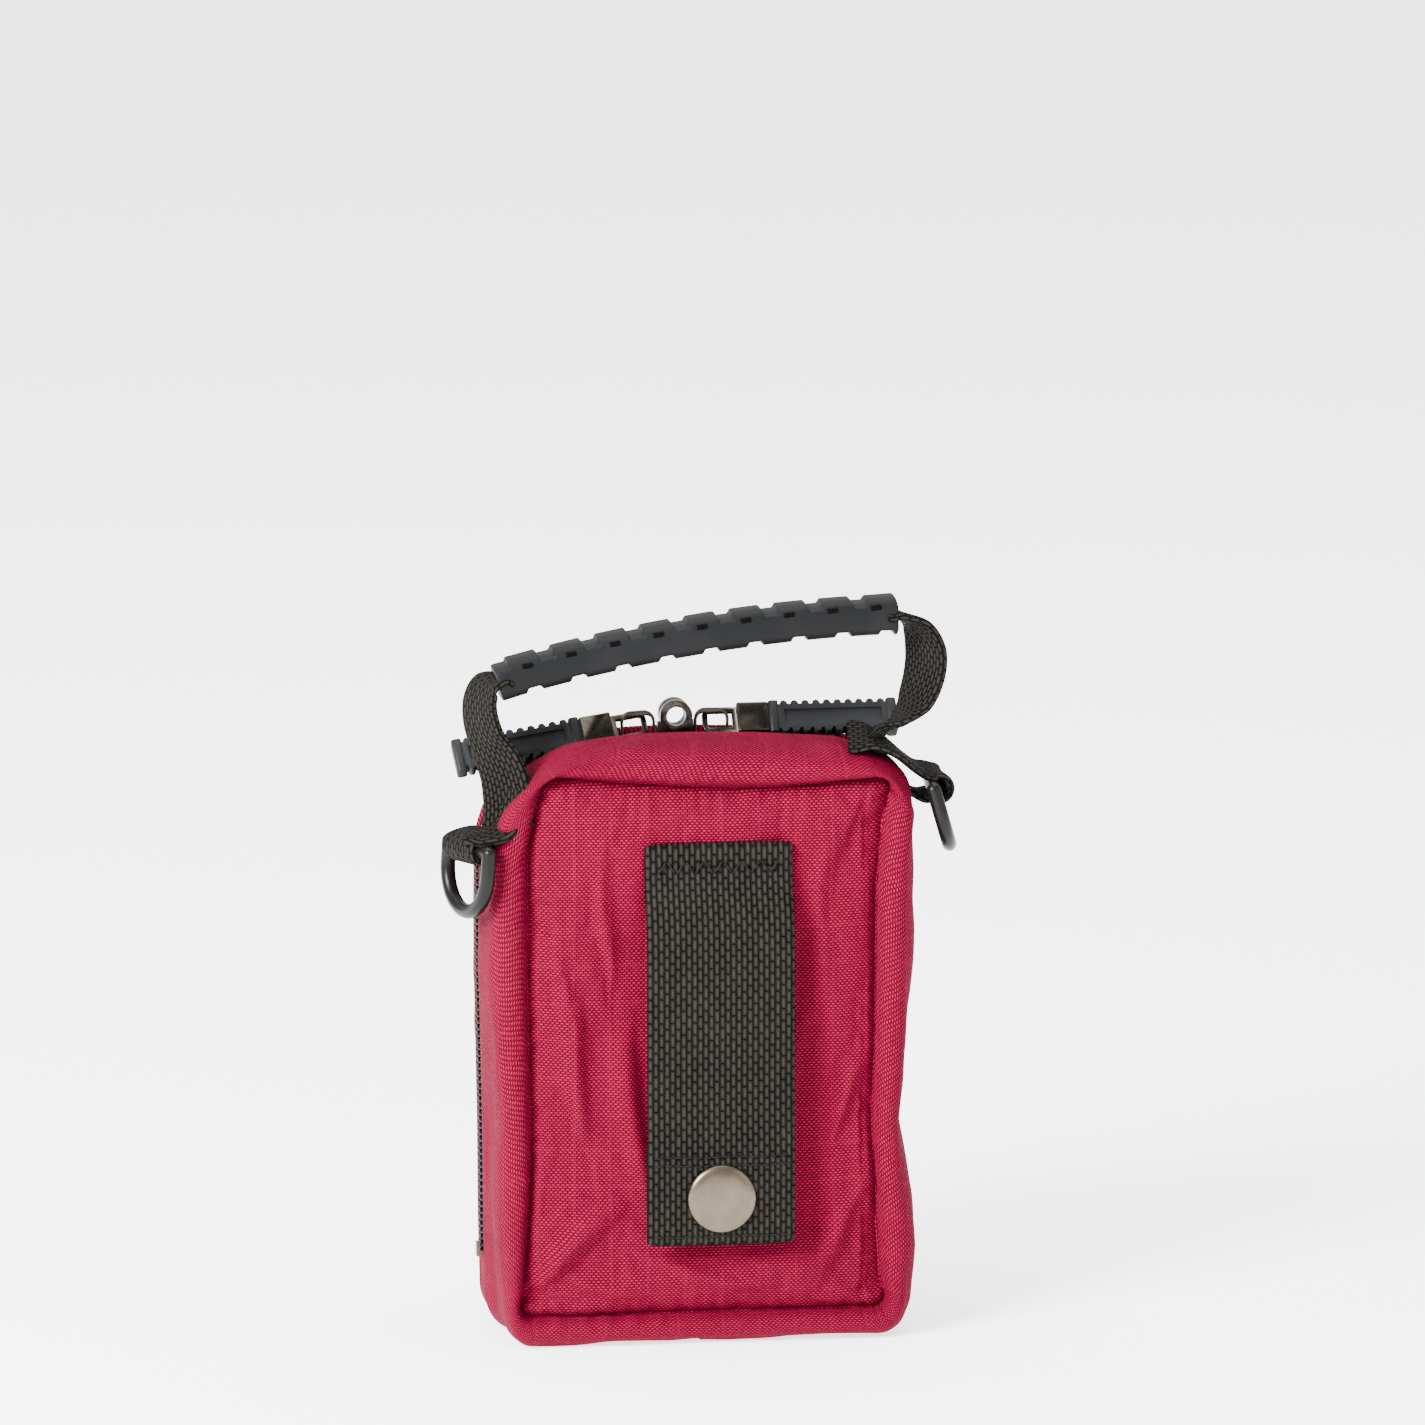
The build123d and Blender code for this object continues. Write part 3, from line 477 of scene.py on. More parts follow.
def loop(half, base, crown, arch, corners):
    # from the middle of the base round the right side, the arch and the left side; each stretch keeps its own
    # count of points, so loops of different sizes match point for point. A top corner's centre lies at height
    # archCentre + sqrt((arch - r)^2 - (half - r)^2)
    baseRight, topRight, topLeft, baseLeft = corners
    archZ = crown - arch
    n = stretchCounts

    def arc(x, z, r, a, b, count):
        t = np.linspace(a, b, count, endpoint=False)
        return np.stack([x + r * np.cos(t), z + r * np.sin(t)], 1)

    def line(x0, z0, x1, z1, count):
        t = np.linspace(0, 1, count, endpoint=False)[:, None]
        return np.array([[x0, z0]]) * (1 - t) + np.array([[x1, z1]]) * t

    def corner(r):
        cx = half - r
        cz = archZ + math.sqrt((arch - r) ** 2 - cx**2)
        return cx, cz, math.atan2(cz - archZ, cx)

    rx, rz, rt = corner(topRight)
    lx, lz, lt = corner(topLeft)
    return np.vstack([
        line(0, base, half - baseRight, base, n["base"]),
        arc(half - baseRight, base + baseRight, baseRight, -math.pi / 2, 0, n["baseCorner"]),
        line(half, base + baseRight, half, rz, n["side"]),
        arc(rx, rz, topRight, 0, rt, n["topCorner"]),
        arc(0, archZ, arch, rt, math.pi - lt, n["arch"]),
        arc(-lx, lz, topLeft, math.pi - lt, math.pi, n["topCorner"]),
        line(-half, lz, -half, base + baseLeft, n["side"]),
        arc(-half + baseLeft, base + baseLeft, baseLeft, math.pi, 1.5 * math.pi, n["baseCorner"]),
        line(-half + baseLeft, base, 0, base, n["base"])])


def ease(v, low, high):
    # t * t * (3 - 2 t), from 0 at low to 1 at high
    t = np.clip((v - low) / (high - low), 0, 1)
    return t * t * (3 - 2 * t)


def seamLean(x, z):
    # where the sewn seam leaves its straight pattern: flared at the bottom corners, leaning in or out at the
    # top, and sagging between the top corners
    left = np.interp(z, [6.5, 12, 22, 40, 108, 116, 126], [-4.0, -2.6, -1.2, 0.0, 0.0, 1.8, 4.5])
    right = np.interp(z, [6.5, 14, 25, 40, 100, 113, 124], [3.0, 1.2, 0.5, 0.0, 0.0, 1.7, 3.4])
    sag = np.interp(x, [-38, -34, -19, -2, 15, 29, 38], [3.2, 2.9, 1.2, 0.2, -0.5, 0.2, 1.2])
    outX = x + np.clip(-x / 38, 0, 1) * left + np.clip(x / 38, 0, 1) * right
    return outX, z + sag * ease(z, 92, 124)


def settle(points):
    # the filled pouch leans off its pattern: its sides pull in by height, the top rises and droops,
    # and the front half stands a little lower than the back one
    x, y, z = points[..., 0], points[..., 1], points[..., 2]
    left = np.interp(z, [0, 4, 10, 23, 47, 61, 80, 94, 112],
                     [2.0, 3.0, 2.8, 1.8, 1.4, 0.6, -0.5, -0.5, 0.0])
    right = np.interp(z, [0, 10, 20, 31, 48, 65, 90, 110, 125],
                      [-1.2, -0.4, 0.6, 0.0, -2.5, -0.9, 0.2, 0.3, 1.0])
    lift = np.interp(x, [-47, -33, -27, -15, -5, 7, 22, 31, 36, 44, 48],
                     [0, 0, 0.8, 0.7, 0.4, 0.2, 0.9, 1.9, 1.4, 2.8, 2.8])
    front = ease(y, 4.0, 16.0)
    towardsLeft, towardsRight = np.clip(-x / rim["half"], 0, 1), np.clip(x / rim["half"], 0, 1)
    rimShare = ease(np.abs(y), 24.5, 17.0)
    out = points.copy()
    sides = 0.3 + 0.7 * ease(np.abs(y), 5.0, 14.0)
    out[..., 0] = (x + towardsLeft**6 * sides * left + towardsRight**6 * right
                   + front * (towardsLeft * 3.2 - towardsRight * 1.0))
    out[..., 2] = z + lift * ease(z, 96, 127) * (0.25 + 0.75 * rimShare) - front * 6.0 * ease(z, 70, 131)
    return out


def place(points, side=-1):
    # a surface of the back half, or its mirror for the front half
    out = points.copy()
    if side > 0:
        out[..., 1] = -out[..., 1]
    return settle(out) * mm


# ---- cloth simulation of one grid of fabric

clothFeel = dict(quality=5, mass=0.05, tension_stiffness=20, compression_stiffness=20, shear_stiffness=6,
                 bending_stiffness=0.4, air_damping=4, vertex_group_mass="pin", use_pressure=True)
backRun = dict(pressure=0.5, grow=0.012, frames=18, cap=2.2)


def simulateCloth(points, pinned, name, pressure, grow, frames, cap):
    # the grid is given to Blender's cloth with its rim pinned, cut larger than its frame by the share grow so
    # that it buckles, and how far each point moves is capped, in mm
    made = Surface().add(points * mm).make(name, ripstopMaterial)
    group = made.vertex_groups.new(name="pin")
    group.add([int(i) for i in np.nonzero(pinned.ravel())[0]], 1.0, "REPLACE")
    cloth = made.modifiers.new("cloth", "CLOTH")
    for key, value in clothFeel.items():
        setattr(cloth.settings, key, value)
    cloth.settings.shrink_min = -grow
    cloth.settings.uniform_pressure_force = pressure
    cloth.settings.effector_weights.gravity = 0
    cloth.point_cache.frame_end = frames
    for step in range(1, frames + 1):
        bpy.context.scene.frame_set(step)
    done = made.evaluated_get(bpy.context.evaluated_depsgraph_get())
    flat = np.zeros(len(done.data.vertices) * 3, np.float32)
    done.data.vertices.foreach_get("co", flat)
    result = flat.reshape(points.shape).astype(float) / mm
    bpy.data.objects.remove(made)
    bpy.context.scene.frame_set(1)
    move = result - points
    size = np.linalg.norm(move, axis=-1, keepdims=True)
    move = move * np.minimum(1, cap / np.maximum(size, 1e-9))
    print("stage: cloth", name, "moved at most", round(float(size.max()), 2), "mm")
    return points + move


# ---- fabric pieces

rimLoop, seamLoop, zipLoop = loop(**rim), loop(**seam), loop(**zipLine)
seamX, seamZ = seamLean(seamLoop[:, 0], seamLoop[:, 1])
seamLoop = np.stack([seamX, seamZ], 1)
loopLength = np.concatenate([[0], np.cumsum(np.linalg.norm(np.diff(rimLoop, axis=0), axis=1))])
outward = unit(np.stack([np.gradient(rimLoop[:, 1]), -np.gradient(rimLoop[:, 0])], 1))


gusset = dict(puckers=92, puckerHeight=0.5, puckerReach=0.34, waves=0.6, smallWaves=0.25)


def gussetGrid(seed):
    # rows from the zip slot, over the flat gusset, round the rolled edge and down into the seam. A row lies a
    # share of the way from the rim to the seam at depth y, and lip rows a share of the way from the rim to the
    # zip line. Puckers and slow waves move it outwards where it is flat and backwards where it has turned.
    lipShare = np.array([1.1, 0.8, 0.45, 0.18, 0.04])
    lipY = np.array([-4.7, -4.7, -4.75, -5.0, -5.8])
    ridge = smoothPath([(0, -6.4), (-0.15, -9), (-0.1, -12.5), (0.0, -16.6), (0.25, -19.8), (0.95, -22.9),
                        (2.3, -25.2), (3.9, -26.2), (5.4, -26.2), (6.6, -25.6), (7.4, -24.5), (7.95, -23.0),
                        (8.3, -21.9), (8.7, -20.6)], 46)
    share, ridgeY = ridge[:, 0] / 8.0, ridge[:, 1]
    lip = rimLoop[None] + lipShare[:, None, None] * (zipLoop - rimLoop)[None]
    body = rimLoop[None] + share[:, None, None] * (seamLoop - rimLoop)[None]
    flat = np.concatenate([lip, body])
    y = np.concatenate([lipY, ridgeY])
    inset = np.concatenate([lipShare * 0, share])
    rows, columns = flat.shape[:2]
    rng = np.random.default_rng(seed)
    steps = rng.uniform(0.55, 1.45, columns)
    wave = np.sin(np.cumsum(steps) / steps.sum() * 2 * math.pi * gusset["puckers"])[None]
    strength = np.clip(0.5 + smoothNoise((1, columns), (1, 46), seed + 1), 0, 1.3)
    nearSeam = np.exp(-(((1.0 - inset[:, None]) / gusset["puckerReach"]) ** 2)) * (y[:, None] < -18)
    slow = (smoothNoise((rows, columns), (4, 34), seed + 2) * gusset["waves"]
            + smoothNoise((rows, columns), (7, 80), seed + 3) * gusset["smallWaves"])
    onFlat = ease(-y[:, None], 5.5, 9.0) * ease(-y[:, None], 27.5, 23.0)
    amount = gusset["puckerHeight"] * wave * strength * nearSeam + slow * onFlat
    facing = np.cos(np.clip(inset, 0, 1) * math.pi / 2)[:, None]
    grid = np.stack([flat[..., 0], np.broadcast_to(y[:, None], flat.shape[:2]), flat[..., 1]], -1).copy()
    grid[..., 0] += outward[None, :, 0] * amount * facing
    grid[..., 2] += outward[None, :, 1] * amount * facing
    grid[..., 1] -= amount * (1 - facing) * 0.9
    profile = np.stack([inset * 8, y], 1)
    across = np.concatenate([[0], np.cumsum(np.linalg.norm(np.diff(profile, axis=0), axis=1))])
    uv = np.stack(np.broadcast_arrays(loopLength[None], across[:, None]), -1) * mm
    return grid, uv


def clothPiece(grid, uv, name, replaced, closed, flip, thickness=0.8):
    # the grid as crimson cloth, given a thickness in mm where it isn't 0
    made = Surface().add(grid, uv, closeColumns=closed, flip=flip).make(name, ripstopMaterial)
    if thickness:
        solid = made.modifiers.new("thickness", "SOLIDIFY")
        solid.thickness = thickness * mm
        solid.offset = -1
    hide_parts(*replaced)
    return made


foldGain = 1.9


def creases(x, z, folds):
    # each fold (from x, z, to x, z, height, width) is a soft ridge along a line, faded at its ends:
    # height * foldGain * exp(-(distance / width)^2)
    total = np.zeros_like(x)
    for x0, z0, x1, z1, height, width in folds:
        dx, dz = x1 - x0, z1 - z0
        length = math.hypot(dx, dz)
        t = ((x - x0) * dx + (z - z0) * dz) / length**2
        far = ((x - x0) * dz - (z - z0) * dx) / length - np.sin(t * math.pi * 1.3)
        total += height * foldGain * np.exp(-((far / width) ** 2)) * ease(t, -0.1, 0.35) * ease(t, 1.1, 0.65)
    return total


backFolds = [(-19, 32, -38, 11, 1.5, 2.4), (-24, 46, -37, 27, -1.1, 2.6), (-27, 78, -27, 44, 1.0, 2.2),
             (-17, 74, -12, 28, 1.1, 2.4), (-31, 58, -25, 34, -0.9, 2.2), (-22, 112, -20, 80, 0.6, 2.0),
             (-33, 100, -28, 66, 0.6, 2.0), (22, 66, 25, 14, -0.8, 2.6), (38, 66, 27, 44, 1.1, 2.2),
             (38, 84, 33, 58, -0.8, 2.0), (26, 112, 27, 70, 0.5, 2.0), (36, 36, 24, 15, 0.9, 2.4),
             (38, 50, 30, 24, -0.7, 2.2), (-8, 19, 14, 12, 0.6, 1.8), (-30, 17, -10, 11, 0.7, 2.0),
             (31, 22, 38, 9, 0.7, 1.8)]
frontFolds = [(20, 34, 36, 12, 1.2, 2.4), (-20, 30, -36, 12, 1.1, 2.4), (-30, 96, -26, 50, 0.7, 2.2),
              (28, 100, 30, 56, 0.7, 2.2), (-12, 112, 8, 106, 0.6, 2.0), (4, 22, 26, 15, 0.6, 2.0)]
panel = dict(seamDepth=-21.3, rise=3.5, riseReach=1.3, crown=0.5, waves=0.32, smallWaves=0.1, gather=0.35,
             gatherReach=2.6, leastDepth=-24.4)


def panelGrid(folds, seed, rows=170, columns=140):
    # columns stand on the lower seam and reach the upper one. The panel rises from the seam by
    # 1 - exp(-margin / riseReach) to its crown, with the folds, slow waves and gathers along the seam added
    plain = loop(**seam)
    upper = plain[plain[:, 1] > 60]
    lower = plain[plain[:, 1] <= 60]
    upper, lower = upper[np.argsort(upper[:, 0])], lower[np.argsort(lower[:, 0])]
    u = np.linspace(-1, 1, columns)
    u = u * (1.3 - 0.3 * u**2)
    v = np.linspace(0, 1, rows)
    x = u * (seam["half"] - 1e-3)
    top = np.interp(x, upper[:, 0], upper[:, 1])
    bottom = np.interp(x, lower[:, 0], lower[:, 1])
    z = bottom[None] + v[:, None] * (top - bottom)[None]
    x = np.broadcast_to(x[None], z.shape)
    margin = np.minimum(np.minimum(seam["half"] - np.abs(x), z - bottom[None]), top[None] - z)
    rise = 1 - np.exp(-margin / panel["riseReach"])
    crown = panel["crown"] * (1 - (x / seam["half"]) ** 4) * (1 - np.abs(2 * v[:, None] - 1) ** 6)
    wave = (smoothNoise(z.shape, (11, 8), seed) * panel["waves"]
            + smoothNoise(z.shape, (30, 22), seed + 1) * panel["smallWaves"])
    away = ease(margin, 0.0, 8.0)
    toSide, toEnd = seam["half"] - np.abs(x), np.minimum(z - bottom[None], top[None] - z)
    gather = np.sin(z * 1.55 + 2.2 * np.sin(z * 0.31)) * np.exp(-toSide / panel["gatherReach"])
    gather += np.sin(x * 1.5 + 1.8 * np.sin(x * 0.37)) * np.exp(-toEnd / panel["gatherReach"])
    y = (panel["seamDepth"] - panel["rise"] * rise - crown * rise - (creases(x, z, folds) + wave) * away
         - panel["gather"] * gather * rise)
    xs, zs = seamLean(x, z)
    grid = np.stack([xs, y, zs], -1)
    pinned = np.zeros(z.shape, bool)
    pinned[[0, -1]] = True
    pinned[:, [0, -1]] = True
    return grid, np.stack([xs, zs], -1) * mm, pinned


backPoints, backUv, pinned = panelGrid(backFolds, 11)
backPoints = simulateCloth(backPoints, pinned, "backPanelCloth", **backRun)
# where the pouch is filled, no fold goes in past its contents
across, depth, height = backPoints[..., 0], backPoints[..., 1], backPoints[..., 2]
filled = ease(seam["half"] - np.abs(across), 2.0, 5.0) * ease(height, 9.0, 13.0) * ease(height, 121.0, 117.0)
backPoints[..., 1] = np.where(filled > 0.5, np.minimum(depth, panel["leastDepth"]), depth)
backPanel = clothPiece(place(backPoints), backUv, "backPanelCloth", ["back_panel"], False, True)
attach(backPanel, "pouch")
frontPoints, frontUv, _ = panelGrid(frontFolds, 31)
frontPanel = clothPiece(place(frontPoints, 1), frontUv, "frontPanelCloth", ["front_panel"], False, False)
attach(frontPanel, "lid")
backGrid, gussetUv = gussetGrid(5)
backGusset = clothPiece(place(backGrid), gussetUv, "backGussetCloth", ["back_gusset"], True, False, 0)
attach(backGusset, "pouch")
frontGrid, gussetUv = gussetGrid(17)
frontGusset = clothPiece(place(frontGrid, 1), gussetUv, "frontGussetCloth", ["front_gusset", "base_gusset"],
                         True, True, 0)
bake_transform(frontGusset)


bridge = dict(top=17.5, inset=0.35, half=5.4)


def baseBridge():
    # the closed bottom of the gusset between the two halves, from one zip end round the base to the other
    count = len(rimLoop)
    low = np.nonzero(rimLoop[:, 1] < bridge["top"])[0]
    order = np.concatenate([low[low > count // 2], low[low < count // 2]])
    ring = rimLoop[order] + bridge["inset"] * (zipLoop - rimLoop)[order]
    y = np.linspace(-bridge["half"], bridge["half"], 9)
    grid = np.stack(np.broadcast_arrays(ring[None, :, 0], y[:, None], ring[None, :, 1]), -1)
    uv = np.stack(np.broadcast_arrays(np.linspace(0, 0.1, len(order))[None], (y * mm)[:, None]), -1)
    made = Surface().add(place(grid), uv).make("baseBridgeCloth", ripstopMaterial)
    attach(made, "pouch")


baseBridge()


def seamValley(side, body):
    # a narrow turned-in strip that closes the valley between the panel and the rolled edge
    share = np.array([0.8, 0.92, 1.0, 1.08, 1.2])[:, None, None]
    flat = rimLoop[None] + share * (seamLoop - rimLoop)[None]
    y = np.array([-20.6, -22.1, -22.5, -22.1, -20.6])[:, None]
    grid = np.stack([flat[..., 0], np.broadcast_to(y, flat.shape[:2]), flat[..., 1]], -1)
    uv = np.stack(np.broadcast_arrays(loopLength[None], np.arange(5)[:, None] * 1.0), -1) * mm
    surface = Surface().add(place(grid, side), uv, closeColumns=True, flip=side > 0)
    made = surface.make("seamValley" + body.title(), ripstopMaterial)
    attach(made, body)


def seamBinding(side, body, node):
    # the bound raw edge inside the seam: a tape folded over, carried round just behind the valley with the
    # section (0.5 cos t, 0.95 sin t)
    ring = rimLoop + 1.05 * (seamLoop - rimLoop)
    path = np.stack([ring[:, 0], np.full(len(ring), -19.4), ring[:, 1]], 1)
    around = np.linspace(0, 2 * math.pi, 12, endpoint=False)[:, None, None]
    out = np.stack([outward[:, 0], 0 * outward[:, 0], outward[:, 1]], 1)
    grid = path[None] + 0.5 * np.cos(around) * out[None] + 0.95 * np.sin(around) * np.array([0, 1.0, 0])
    surface = Surface().add(place(grid, side), closeRows=True, closeColumns=True, flip=side > 0)
    made = surface.make("seamBinding" + body.title(), bindingBlack)
    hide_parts(node)
    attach(made, body)


seamBinding(-1, "pouch", "seam_binding_back")
seamBinding(1, "lid", "seam_binding_front")
seamValley(-1, "pouch")
seamValley(1, "lid")
print("stage: fabric pieces")


# ---- woven strap, handle webbing and their stitches

def ribbonSection(width, thick, steps=22):
    # a flat band with rounded edges, closed: half thickness * sqrt(1 - (x / half width)^10)
    x = np.sin(np.linspace(-1, 1, steps) * math.pi / 2) * width / 2
    half = thick / 2 * np.sqrt(np.clip(1 - np.abs(2 * x / width) ** 10, 0, 1)) + 0.08
    upper = np.stack([x, half], 1)
    lower = np.stack([x[::-1], -half[::-1]], 1)
    return np.concatenate([upper, lower])


def ribbon(surface, path, side, width, thick, count):
    # the band carried along a smooth path, its width lying along side, which is eased along the path
    curve = smoothPath(path, count)
    side = np.asarray(side, float)
    if side.ndim == 2:
        side = spread(side, count)
    else:
        side = np.broadcast_to(side, curve.shape)
    rings, uv = carry(curve * mm, ribbonSection(width, thick) * mm, side=unit(side), capped=True)
    surface.add(rings, uv, closeColumns=True)
    return curve


def stitches(surface, points, facing, radius=0.22):
    # short raised threads one after another along a line of points (n, 3): each is a bent capsule
    for a, b in zip(points[:-1], points[1:]):
        t = np.linspace(0.08, 0.92, 7)[:, None]
        line = a + t * (b - a) + np.asarray(facing, float) * (0.28 * np.sin(t * math.pi))
        surface.tube(line * mm, radius * mm, 6)


strap = dict(x=2.9, width=32.0, thick=1.5, foldTop=-25.9, flat=-27.1, bow=-31.1, stitch=2.07, tack=2.03)
strapLine = [(strap["foldTop"], 103.0), (strap["foldTop"], 108.8), (-26.5, 109.9), (-27.15, 108.9),
             (strap["flat"] - 0.1, 104.0), (-28.2, 99.5), (-30.2, 94.5), (strap["bow"], 88.0), (-31.3, 72.0),
             (-31.2, 58.0), (-31.4, 50.0), (-31.7, 44.5), (-31.7, 34.0), (-31.6, 25.6), (-31.0, 24.2),
             (-30.3, 25.2), (-30.2, 34.0), (-30.2, 45.0)]
strapPath = [(strap["x"], y, z) for y, z in strapLine]
webSurface = Surface()
ribbon(webSurface, strapPath, (1, 0, 0), strap["width"], strap["thick"], 260)
strapCloth = webSurface.make("beltStrapWoven", webbingMaterial)
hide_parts("belt_loop_strap", "belt_loop_tab")
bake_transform(strapCloth)

tabStitch = Surface()
zigzag = np.array([[strap["x"] - 13.4 + strap["tack"] * k, -28.05, 105.6 + (1.5 if k % 2 else -1.5)]
                   for k in range(14)])
stitches(tabStitch, zigzag, (0, -1, 0))
tabThread = tabStitch.make("strapBarTack", threadMaterial)
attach(tabThread, "pouch")
hemStitch = Surface()
for depth, height, turn in ((-32.55, 43.0, 1), (-32.55, 41.2, 1), (-32.45, 25.6, 2)):
    row = np.array([[strap["x"] - 14.5 + strap["stitch"] * k, depth, height + 0.15 * math.sin(k * turn)]
                    for k in range(15)])
    stitches(hemStitch, row, (0, -1, 0), radius=0.16)
hemThread = hemStitch.make("strapHemThread", threadMaterial)
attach(hemThread, "belt_loop")


def turned(surface, profile, centre, sides=72):
    # a profile of (radius, depth) turned about a line along Y through the centre
    t = np.linspace(0, 2 * math.pi, sides, endpoint=False)
    r, d = profile[:, 0][:, None], profile[:, 1][:, None]
    grid = np.stack([centre[0] + r * np.cos(t), centre[1] - d + 0 * t, centre[2] + r * np.sin(t)], -1)
    return surface.add(grid * mm, closeColumns=True)


cap = dict(centre=(strap["x"], -32.45, 33.8), profile=[(0.02, 1.55), (3.2, 1.5), (5.6, 1.28), (6.9, 0.9),
                                                        (7.45, 0.35), (7.5, -0.05), (7.1, -0.3)])
snapCap = turned(Surface(), smoothPath(cap["profile"], 34), cap["centre"]).make("snapCapTurned", nickel)
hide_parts("snap_cap")
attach(snapCap, "belt_loop")

handleCloth = Surface()
leftArm = [(-40.5, -13, 144.2), (-42.8, -13, 144.8), (-45.4, -13, 143.6), (-46.8, -13, 139.6),
           (-46.2, -13.2, 134.5), (-44.2, -13.8, 129.6), (-42.2, -16.0, 124.6), (-41.5, -18.6, 119.5),
           (-41.8, -20.6, 114.0)]
leftSide = [(0.25, -0.97, 0), (0.25, -0.97, 0), (0.35, -0.93, 0), (0.6, -0.8, 0.0), (0.8, -0.55, 0.2)]
ribbon(handleCloth, leftArm, unit(np.array(leftSide)), 12.5, 1.7, 120)
rightArm = [(41.0, -13, 157.2), (44.0, -13, 157.0), (48.0, -13, 154.6), (50.0, -13, 149.4),
            (49.6, -13, 143.4), (47.2, -13.2, 137.4), (43.4, -13.8, 133.4), (39.6, -14.6, 131.4),
            (36.4, -16.4, 130.3)]
rightSide = [(0.2, -0.98, 0), (0.3, -0.95, 0.0), (0.5, -0.86, 0), (0.5, -0.8, 0.3), (0.2, -0.8, 0.5)]
ribbon(handleCloth, rightArm, unit(np.array(rightSide)), 13.5, 1.7, 120)
handleWebbing = handleCloth.make("handleWebbingWoven", narrowWebbing)
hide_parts("handle_webbing")
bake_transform(handleWebbing)


def tabRoundBar(surface, lead, bar, outDirection, firstSide, barSide):
    # webbing from the pouch, over a ring's bar, round it and back: an arc of radius 2.6 about the bar
    bar, out, up = np.array(bar), np.array(outDirection), np.array([0, 0, 1.0])
    turn = np.radians([90, 50, 10, -30, -70, -105])[:, None]
    arc = bar + 2.6 * (np.cos(turn) * out + np.sin(turn) * up)
    tail = np.array([bar - out * 3.0 - up * 2.4, bar - out * 6.0 - up * 1.0])
    path = np.vstack([np.array(lead, float), arc, tail])
    share = np.clip(np.linspace(0, 2.2, 9), 0, 1)[:, None]
    ribbon(surface, path, unit(np.array(firstSide) * (1 - share) + np.array(barSide) * share), 12.0, 1.5, 110)


tabCloth = Surface()
rightLead = [(32.5, -16.6, 131.2), (37.0, -17.0, 131.0), (41.5, -16.6, 128.8), (45.5, -15.2, 125.4),
             (48.6, -13.8, 123.2)]
leftLead = [(-41.0, -18.4, 121.5), (-41.6, -20.2, 117.5), (-43.4, -21.0, 114.2), (-46.6, -20.4, 112.6)]
tabRoundBar(tabCloth, rightLead, (51.4, -13.0, 120.0), (0.995, -0.1, 0), (0.3, -0.85, -0.35), (0.1, -0.995, 0))
tabRoundBar(tabCloth, leftLead, (-49.9, -18.65, 109.5), (-0.93, -0.36, 0), (0.6, -0.8, 0.1), (0.36, -0.93, 0))
cornerTabs = tabCloth.make("cornerTabWebbing", narrowWebbing)
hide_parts("webbing_tab_left", "webbing_tab_right")
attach(cornerTabs, "pouch")
print("stage: webbing")


# ---- zip coil, wound turn by turn

coil = dict(pitch=1.45, across=1.15, height=0.62, wire=0.33, offset=1.75, out=0.55, end=17.0)


def coilPath(side):
    # a flattened helix along the zip line: x along + offset, sin across, cos outwards
    keep = np.nonzero(zipLoop[:, 1] > coil["end"])[0]
    line = zipLoop[keep]
    length = np.linalg.norm(np.diff(line, axis=0), axis=1).sum()
    turns = int(length / coil["pitch"])
    both = spread(np.hstack([line, outward[keep]]), turns * 12 + 1)
    t = np.linspace(0, turns * 2 * math.pi, len(both))
    out = coil["out"] + coil["height"] * np.cos(t)
    y = side * (coil["offset"] + coil["across"] * np.sin(t))
    n = unit(both[:, 2:])
    return np.stack([both[:, 0] + n[:, 0] * out, y, both[:, 1] + n[:, 1] * out], 1)


for side, body, node in ((-1, "pouch", "zip_coil_back"), (1, "lid", "zip_coil_front")):
    path = settle(coilPath(side))
    name = node.replace("zip_coil_", "coilTurns")
    wound = Surface().tube(path * mm, coil["wire"] * mm, 6).make(name, coilMaterial)
    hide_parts(node)
    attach(wound, body)
print("stage: zip coil")


# ---- moulded grip

grip = dict(left=(-43.3, 144.6), right=(43.3, 157.2), rise=2.8, y=-13.0, halfWide=5.6, halfHigh=4.1, power=3.4,
            pads=9, groove=0.95, slots=9, slotUp=2.35, slotOut=5.15, slotHalf=1.05, slotRadius=0.62)


